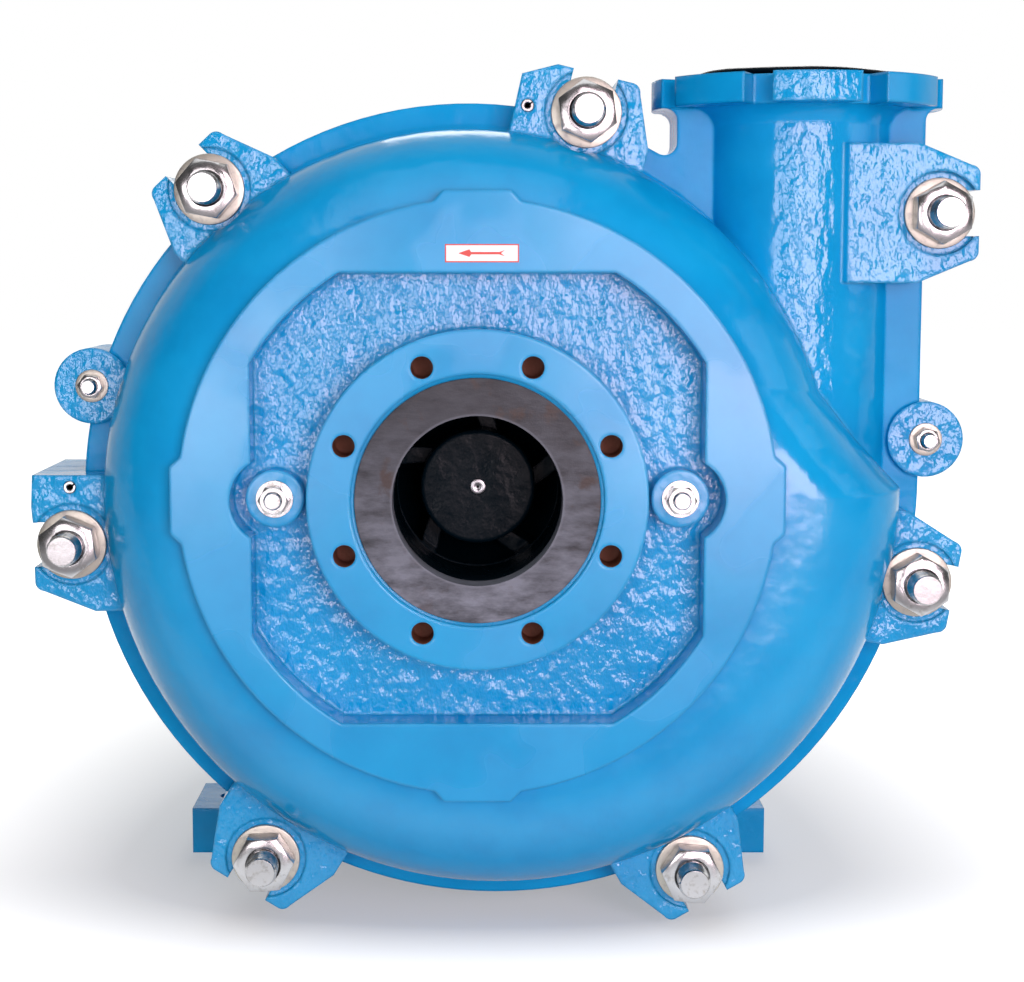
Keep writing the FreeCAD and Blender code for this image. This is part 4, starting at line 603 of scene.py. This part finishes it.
def repeat(kind, name, places, way, sizes, material, seed=1):
    """Run one fastener tree over a list of places and return the plain mesh."""
    points = bpy.data.meshes.new(name + "_places")
    points.from_pydata([tuple(place) for place in places], [], [])
    carrier = bpy.data.objects.new(name + "_carrier", points)
    bpy.context.scene.collection.objects.link(carrier)
    tree = tree_of(kind)
    modifier = carrier.modifiers.new("Fasteners", "NODES")
    modifier.node_group = tree
    sockets = {item.name: item.identifier for item in tree.interface.items_tree
               if getattr(item, "in_out", "") == "INPUT"}
    for title, number in sizes.items():
        modifier[sockets[title]] = number
    modifier[sockets["Turn"]] = TURNS[way]
    modifier[sockets["Seed"]] = seed
    modifier[sockets["Material"]] = material
    graph = bpy.context.evaluated_depsgraph_get()
    mesh = bpy.data.meshes.new_from_object(carrier.evaluated_get(graph))
    carrier.modifiers.clear()
    bpy.data.objects.remove(carrier)
    return mesh


def node_places(node, way):
    """Where each solid of a fastener node starts, along the way it points."""
    axis = "XYZ".index(way[1])
    places = []
    for centre, low, high in islands(node):
        point = centre.copy()
        point[axis] = low[axis] if way[0] == "+" else high[axis]
        places.append(point)
    return places


def swap(kind, node, body, way, sizes, material, seed=1):
    """Replace a CAD fastener node with a detailed one at the same places."""
    mesh = repeat(kind, node, node_places(node, way), way, sizes, material, seed)
    return piece(node + "_detail", mesh, material, body, "zinc_plated_steel", node)


def lengths(node, axis):
    """Length of the first solid of a node along an axis."""
    _, low, high = islands(node)[0]
    return high[axis] - low[axis]


# ---------------------------------------------------------------- operators


class SLURRY_OT_castings(bpy.types.Operator):
    """Paint the cast casing halves, the bearing cartridge and the frame"""

    bl_idname = "slurry.castings"
    bl_label = "Castings"

    def execute(self, context):
        settings = context.scene.slurry_finishes
        front = cast_enamel("cast_iron_gloss_enamel", settings, front_casting=True)
        dress(front, "cover_plate")
        plain = cast_enamel("cast_iron_gloss_enamel_plain", settings)
        dress(plain, "frame_plate", "frame_base", "bearing_housing", "end_cover_pump", "end_cover_drive",
              "stuffing_box")
        return {"FINISHED"}


class SLURRY_OT_rubber(bpy.types.Operator):
    """Give the joint rings, liners and impeller their moulded rubber"""

    bl_idname = "slurry.rubber"
    bl_label = "Rubber parts"

    def execute(self, context):
        settings = context.scene.slurry_finishes
        # The joint ring rubber carries grey dust and a painted reflection that is paler towards the bottom.
        ring_dust_and_sheen_rubber = ring_rubber("joint_ring_rubber_dust_and_painted_sheen", settings)
        clean = clean_rubber("natural_rubber", settings)
        dress(ring_dust_and_sheen_rubber, "intake_joint_ring")
        dress(clean, "cover_plate_liner", "frame_plate_liner", "throat_bush", "frame_plate_liner_insert",
              "impeller")
        piece("discharge_lip", self.wavy_lip(), clean, "casing", "black_rubber", "discharge_joint_ring")
        return {"FINISHED"}

    def wavy_lip(self):
        """The squeezed-out rubber lip on the discharge flange, whose rim lies in slow waves."""
        low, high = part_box("discharge_joint_ring")
        centre = Vector(((low[0] + high[0]) / 2, (low[1] + high[1]) / 2, low[2]))
        outer = (high[0] - low[0]) / 2 - 1.2 * MM
        thick = high[2] - low[2]
        work = bmesh.new()
        rings = []
        count = 144
        for number in range(count):
            angle = math.tau * number / count
            wave = 0.5 + 0.32 * math.sin(2 * angle + 0.6) + 0.18 * math.sin(5 * angle + 2.2)
            reach = outer + 1.0 * MM * math.sin(3 * angle + 0.4)
            lift = thick * (0.35 + 0.30 * wave)
            # radius and height of the lip's section, from the bore's foot round to its top
            section = [
                (50.2 * MM, 0.05 * MM), (outer * 0.80, 0.05 * MM), (reach - 3 * MM, lift * 0.8),
                (reach - 0.8 * MM, lift), (reach, lift + 0.2 * thick), (reach - 0.8 * MM, lift + 0.42 * thick),
                (reach - 3 * MM, lift + 0.55 * thick), (outer * 0.88, 0.62 * thick + lift * 0.6),
                (outer * 0.76, 0.78 * thick), (52 * MM, 0.70 * thick), (50.2 * MM, 0.55 * thick),
            ]
            rings.append([work.verts.new(centre + Vector((
                radius * math.cos(angle), radius * math.sin(angle), height))) for radius, height in section])
        for number, ring in enumerate(rings):
            following = rings[(number + 1) % count]
            for at in range(len(ring)):
                back = (at + 1) % len(ring)
                work.faces.new((ring[at], following[at], following[back], ring[back]))
        bmesh.ops.recalc_face_normals(work, faces=work.faces)
        mesh = bpy.data.meshes.new("discharge_lip")
        work.to_mesh(mesh)
        work.free()
        return mesh


class SLURRY_OT_running_gear(bpy.types.Operator):
    """Finish the shaft, bearings, seal and other bare metal"""

    bl_idname = "slurry.running_gear"
    bl_label = "Running gear"

    def execute(self, context):
        steel = turned_steel("turned_carbon_steel")
        dress(steel, "shaft", "shaft_sleeve", "shaft_spacer", "impeller_boss", "bearing_locknut",
              "inner_race_pump_end", "outer_race_pump_end", "inner_race_drive_end", "outer_race_drive_end",
              "rollers_pump_end", "rollers_drive_end")
        bronze = bare_metal("cast_bronze", "#8C6A34", "#B08B4C", 1.0, 0.30, 0.48)
        dress(bronze, "lantern_ring", "cage_pump_end", "cage_drive_end", "shims_pump", "shims_drive")
        iron = bare_metal("machined_grey_iron", "#4A4A4C", "#66676A", 0.7, 0.40, 0.60)
        dress(iron, "gland_follower", "labyrinth_pump_end", "labyrinth_drive_end")
        dress(braided_packing("braided_graphite_packing"), "packing_rings")
        return {"FINISHED"}


class SLURRY_OT_fasteners(bpy.types.Operator):
    """Thread the studs and cone the nuts of every bolted joint"""

    bl_idname = "slurry.fasteners"
    bl_label = "Fasteners"

    def execute(self, context):
        settings = context.scene.slurry_finishes
        pitch = context.scene.slurry_fasteners.joint_pitch
        zinc = zinc_plating("zinc_plated_steel", settings)
        cream = zinc_plating("passivated_zinc_plated_steel", settings, cream=True)
        # node, body, way, radius, pitch
        studs = [
            ("cover_studs", "casing", "+Y", 15, pitch / MM), ("ear_studs", "casing", "+Y", 7, 2.0),
            ("liner_studs", "casing", "+Y", 8, 2.0), ("frame_studs", "casing", "+Y", 12, 3.0),
            ("clamp_studs", "casing", "+Z", 10, 2.5), ("gland_studs", "casing", "+Y", 8, 2.0),
            ("adjusting_screw", "bearing_assembly", "+Y", 12, 3.0),
        ]
        for node, body, way, radius, step in studs:
            swap("stud", node, body, way, {
                "Radius": radius * MM, "Length": lengths(node, "XYZ".index(way[1])), "Pitch": step * MM}, zinc)
        # node, body, way, across flats, thickness, bore radius
        nuts = [
            ("cover_nuts_front", "casing", "+Y", 50, 24, 15), ("cover_nuts_back", "casing", "-Y", 50, 24, 15),
            ("ear_nuts", "casing", "+Y", 21, 11, 7), ("frame_nuts", "casing", "-Y", 36, 19, 12),
            ("clamp_nuts", "casing", "+Z", 30, 16, 10), ("gland_nuts", "gland", "-Y", 24, 13, 8),
            ("adjusting_nuts", "casing", "+Y", 36, 18, 12),
        ]
        for number, (node, body, way, flats, thick, bore) in enumerate(nuts):
            swap("nut", node, body, way, {
                "Flats": flats * MM, "Thickness": thick * MM, "Bore": bore * MM}, zinc, seed=number + 3)
        # node, way, radius, thickness, bore radius
        washers = [
            ("cover_washers_front", "+Y", 32.5, 5, 15), ("cover_washers_back", "+Y", 32.5, 5, 15),
            ("ear_washers", "+Y", 15.5, 2.5, 7), ("clamp_washers", "+Z", 21, 6, 10),
        ]
        for node, way, radius, thick, bore in washers:
            swap("washer", node, "casing", way, {
                "Radius": radius * MM, "Thickness": thick * MM, "Bore": bore * MM}, cream)
        dress(zinc, "end_cover_screws", "grease_nipples", "liner_stud_nuts")
        pins = self.roll_pins(context.scene.slurry_fasteners.pin_bore)
        piece("roll_pins_detail", pins, zinc, "casing", "zinc_plated_steel", "roll_pins")
        piece("impeller_centre", self.turning_centre(), bpy.data.materials["turned_carbon_steel"], "rotor",
              "ground_steel")
        return {"FINISHED"}

    def roll_pins(self, bore):
        """Rolled spring pins: tubes slit along one side, with eased ends."""
        work = bmesh.new()
        for centre, low, high in islands("roll_pins"):
            outer = (high.x - low.x) / 2
            ease = 0.8 * MM
            # radius and place along the pin
            section = [
                (bore, low.y + ease), (bore + ease, low.y), (outer - ease, low.y), (outer, low.y + ease),
                (outer, high.y - ease), (outer - ease, high.y), (bore + ease, high.y), (bore, high.y - ease),
            ]
            columns = []
            count, slit = 40, 0.16
            for number in range(count + 1):
                angle = slit + (math.tau - 2 * slit) * number / count + 0.6
                columns.append([work.verts.new((
                    centre.x + radius * math.cos(angle), along, centre.z + radius * math.sin(angle)))
                    for radius, along in section])
            for near, far in zip(columns, columns[1:]):
                for at in range(len(section)):
                    back = (at + 1) % len(section)
                    work.faces.new((near[at], far[at], far[back], near[back]))
            work.faces.new(columns[0])
            work.faces.new(columns[-1][::-1])
        bmesh.ops.recalc_face_normals(work, faces=work.faces)
        mesh = bpy.data.meshes.new("roll_pins_detail")
        work.to_mesh(mesh)
        work.free()
        return mesh

    def turning_centre(self):
        """The steel insert in the impeller's nose, with the coned centre it was turned on."""
        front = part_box("impeller")[0][1]
        # radius and place along the shaft, from the bottom of the cone out over the rim
        section = [(0.4 * MM, 0.1), (3.0 * MM, -1.5), (5.6 * MM, -1.7), (7.2 * MM, -1.2), (7.8 * MM, 0.0)]
        work = bmesh.new()
        count = 40
        rings = [[work.verts.new((radius * math.cos(math.tau * number / count), front + along * MM,
                                  radius * math.sin(math.tau * number / count)))
                  for number in range(count)] for radius, along in section]
        for near, far in zip(rings, rings[1:]):
            for number in range(count):
                after = (number + 1) % count
                work.faces.new((near[number], near[after], far[after], far[number]))
        work.faces.new(rings[0])
        work.faces.new(rings[-1])
        bmesh.ops.recalc_face_normals(work, faces=work.faces)
        mesh = bpy.data.meshes.new("impeller_centre")
        work.to_mesh(mesh)
        work.free()
        return mesh


class SLURRY_OT_label(bpy.types.Operator):
    """Stick the printed direction arrow on the turned ring"""

    bl_idname = "slurry.label"
    bl_label = "Direction label"

    def execute(self, context):
        sizes = context.scene.slurry_fasteners
        wide, tall = sizes.label_width / 2, sizes.label_height / 2
        border = 1.1 * MM
        face = 3.0 * MM
        centre = Vector((4.0 * MM, face, sizes.label_rise))
        # outlines about the label's centre, seen from the front: x to the right, z up
        card = [(-wide, -tall), (wide, -tall), (wide, tall), (-wide, tall)]
        inner_wide, inner_tall = wide - border, tall - border
        head, tip, shaft = -0.34 * wide, -0.64 * wide, 0.13 * tall
        tail = 0.62 * wide
        arrow = [
            (tip, 0), (head, -0.42 * tall), (head + 1.5 * MM, -shaft), (tail - 5 * MM, -shaft),
            (tail, -0.34 * tall), (tail - 3.5 * MM, 0), (tail, 0.34 * tall), (tail - 5 * MM, shaft),
            (head + 1.5 * MM, shaft), (head, 0.42 * tall),
        ]
        frame_bars = [
            [(-wide, inner_tall), (wide, inner_tall), (wide, tall), (-wide, tall)],
            [(-wide, -tall), (wide, -tall), (wide, -inner_tall), (-wide, -inner_tall)],
            [(-wide, -inner_tall), (-inner_wide, -inner_tall), (-inner_wide, inner_tall), (-wide, inner_tall)],
            [(inner_wide, -inner_tall), (wide, -inner_tall), (wide, inner_tall), (inner_wide, inner_tall)],
        ]
        white = plain_paint("white_label_film", "#F3F1EF", 0.35)
        red = plain_paint("red_label_print", "#D0392F", 0.35)
        piece("direction_label", self.plates([card], centre, 0.0, 0.35 * MM), white, "casing", "azure_enamel")
        piece("direction_label_print", self.plates([arrow, *frame_bars], centre, 0.35 * MM, 0.45 * MM), red,
              "casing", "azure_enamel")
        return {"FINISHED"}

    def plates(self, outlines, centre, low, high):
        """Thin plates standing forward of the ring between two heights."""
        work = bmesh.new()
        for outline in outlines:
            back = [work.verts.new(centre + Vector((x, -low, z))) for x, z in outline]
            front = [work.verts.new(centre + Vector((x, -high, z))) for x, z in outline]
            work.faces.new(back[::-1])
            work.faces.new(front)
            for at in range(len(outline)):
                after = (at + 1) % len(outline)
                work.faces.new((back[at], back[after], front[after], front[at]))
        bmesh.ops.recalc_face_normals(work, faces=work.faces)
        mesh = bpy.data.meshes.new("label")
        work.to_mesh(mesh)
        work.free()
        return mesh


class SLURRY_OT_stage(bpy.types.Operator):
    """Set the floor, lamps and camera"""

    bl_idname = "slurry.stage"
    bl_label = "Stage"

    def execute(self, context):
        stage = context.scene.slurry_stage
        self.floor(context, stage)
        self.lamps(context, stage)
        self.world(context, stage)
        self.camera(context, stage)
        context.scene.view_settings.view_transform = "Standard"
        return {"FINISHED"}

    def floor(self, context, stage):
        """A pale floor under the pump that runs out into the white backdrop."""
        low = min(SIZES["cad"][0][2], SIZES["cad"][1][2])
        work = bmesh.new()
        bmesh.ops.create_grid(work, x_segments=8, y_segments=8, size=14.0)
        bmesh.ops.translate(work, verts=work.verts, vec=(0, 3.0, low))
        mesh = bpy.data.meshes.new("studio_floor")
        work.to_mesh(mesh)
        work.free()
        material, tree = new_material("white_paper_floor")
        place = add(tree, "ShaderNodeTexCoord").outputs["Object"]
        straight, mirrored = self.seen(tree)
        # Away from the pump the paper is as white as the backdrop. Mirrored, it is white only behind the pump.
        split = add(tree, "ShaderNodeSeparateXYZ", links={"Vector": place})
        rear = band(tree, split.outputs["Y"], -0.5, -0.1)
        # The pale zone round the pump is short in front and long behind, under the frame.
        along = compute(tree, "SUBTRACT", split.outputs["Y"], 0.32)
        along = compute(tree, "MAXIMUM", compute(tree, "MULTIPLY", along, -1.9),
                        compute(tree, "MULTIPLY", along, 0.45))
        about = add(tree, "ShaderNodeCombineXYZ", links={"X": split.outputs["X"], "Y": along})
        away = add(tree, "ShaderNodeVectorMath", links={0: about.outputs[0]}, operation="LENGTH")
        shown = add(tree, "ShaderNodeMath", links={0: straight, 1: times(tree, rear, mirrored)},
                    operation="MAXIMUM").outputs[0]
        glow = times(tree, band(tree, away.outputs["Value"], 0.38, 0.75, 0.34, 1.0), shown)
        paper = add(tree, "ShaderNodeBsdfDiffuse", {"Color": (*stage.floor, 1)})
        light = add(tree, "ShaderNodeEmission", {"Color": (1, 1, 1, 1)}, {"Strength": glow})
        both = add(tree, "ShaderNodeAddShader", links={0: paper.outputs[0], 1: light.outputs[0]})
        add(tree, "ShaderNodeOutputMaterial", links={"Surface": both.outputs[0]})
        mesh.materials.append(material)
        floor = bpy.data.objects.new("studio_floor", mesh)
        context.scene.collection.objects.link(floor)
        floor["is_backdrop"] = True

    def seen(self, tree):
        """Masks for rays that show the backdrop: straight or through glass, and mirrored."""
        rays = add(tree, "ShaderNodeLightPath").outputs
        straight = add(tree, "ShaderNodeMath", links={0: rays["Is Camera Ray"], 1: rays["Is Transmission Ray"]},
                       operation="MAXIMUM").outputs[0]
        return straight, rays["Is Glossy Ray"]

    def lamps(self, context, stage):
        rows = [
            # name, place, aim, size, power, colour
            ("key", (-0.2, -1.3, 2.7), (0, 0.1, 0), 2.4, stage.key_power, "#FFFFFF"),
            ("front_right", (1.0, -3.0, 0.42), (0, 0, 0), 1.6, stage.front_power, "#FFE8EF"),
            ("front_left", (-0.85, -3.0, 0.15), (0, 0, 0), 1.0, stage.window_power, "#FFF4F8"),
            ("right", (2.8, -0.6, 0.8), (0, 0.1, 0), 1.4, stage.side_power, "#FFFFFF"),
            ("back", (0.4, 3.2, 1.9), (0, 0.5, 0), 2.0, stage.side_power * 4, "#FFFFFF"),
        ]
        for name, place, aim, size, power, colour in rows:
            lamp = bpy.data.lights.new(name, "AREA")
            lamp.shape = "SQUARE"
            lamp.size = size
            lamp.energy = power
            lamp.color = linear(colour)
            made = bpy.data.objects.new(name, lamp)
            made.location = place
            made.rotation_euler = (Vector(aim) - Vector(place)).to_track_quat("-Z", "Y").to_euler()
            context.scene.collection.objects.link(made)

    def world(self, context, stage):
        """A white backdrop behind the pump and a dimmer room in front of it."""
        world = bpy.data.worlds.new("room")
        world.use_nodes = True
        tree = world.node_tree
        tree.nodes.clear()
        way = add(tree, "ShaderNodeTexCoord").outputs["Generated"]
        split = add(tree, "ShaderNodeSeparateXYZ", links={"Vector": way})
        behind = band(tree, split.outputs["Y"], -0.05, 0.45, stage.room_level * 0.4, stage.backdrop_level)
        above = band(tree, split.outputs["Z"], 0.1, 0.9, 0.0, stage.room_level)
        shown = add(tree, "ShaderNodeMath", links={0: behind, 1: above}, operation="MAXIMUM").outputs[0]
        straight, mirrored = self.seen(tree)
        level = add(tree, "ShaderNodeMix", {2: stage.room_level}, {0: mirrored, 3: shown},
                    data_type="FLOAT").outputs[0]
        level = add(tree, "ShaderNodeMix", {3: stage.backdrop_level}, {0: straight, 2: level},
                    data_type="FLOAT").outputs[0]
        back = add(tree, "ShaderNodeBackground", {"Color": (1, 1, 1, 1)}, {"Strength": level})
        add(tree, "ShaderNodeOutputWorld", links={"Surface": back.outputs[0]})
        context.scene.world = world

    def camera(self, context, stage):
        lens = bpy.data.cameras.new("camera")
        lens.lens = stage.lens
        lens.sensor_width = 36.0
        lens.shift_x = 0.0293
        lens.clip_end = 60
        made = bpy.data.objects.new("camera", lens)
        made.location = (0.004, -1.8156, 0.213)
        made.rotation_euler = (math.radians(90 - 6.4), 0, 0)
        context.scene.collection.objects.link(made)
        context.scene.camera = made


class SLURRY_PT_panel(bpy.types.Panel):
    """The pump's operators and settings"""

    bl_idname = "SLURRY_PT_panel"
    bl_label = "Slurry Pump"
    bl_space_type = "VIEW_3D"
    bl_region_type = "UI"
    bl_category = "Slurry Pump"

    def draw(self, context):
        for operator in OPERATORS:
            self.layout.operator(operator.bl_idname)
        for group in ("slurry_finishes", "slurry_fasteners", "slurry_stage"):
            settings = getattr(context.scene, group)
            for name in settings.__annotations__:
                self.layout.prop(settings, name)


OPERATORS = (
    SLURRY_OT_castings, SLURRY_OT_rubber, SLURRY_OT_running_gear, SLURRY_OT_fasteners, SLURRY_OT_label,
    SLURRY_OT_stage,
)
GROUPS = {
    "slurry_finishes": SlurryPumpFinishes,
    "slurry_fasteners": SlurryPumpFasteners,
    "slurry_stage": SlurryPumpStage,
}


def register():
    for group in (*GROUPS.values(), *OPERATORS, SLURRY_PT_panel):
        bpy.utils.register_class(group)
    for name, group in GROUPS.items():
        setattr(bpy.types.Scene, name, bpy.props.PointerProperty(type=group))


def unregister():
    for name in GROUPS:
        delattr(bpy.types.Scene, name)
    for group in reversed((*GROUPS.values(), *OPERATORS, SLURRY_PT_panel)):
        bpy.utils.unregister_class(group)


def main():
    register()
    bpy.ops.slurry.castings()
    bpy.ops.slurry.rubber()
    bpy.ops.slurry.running_gear()
    bpy.ops.slurry.fasteners()
    bpy.ops.slurry.label()
    bpy.ops.slurry.stage()
    SIZES["visual"] = [list(map(float, corner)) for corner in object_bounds()]


if __name__ == "__main__":
    main()
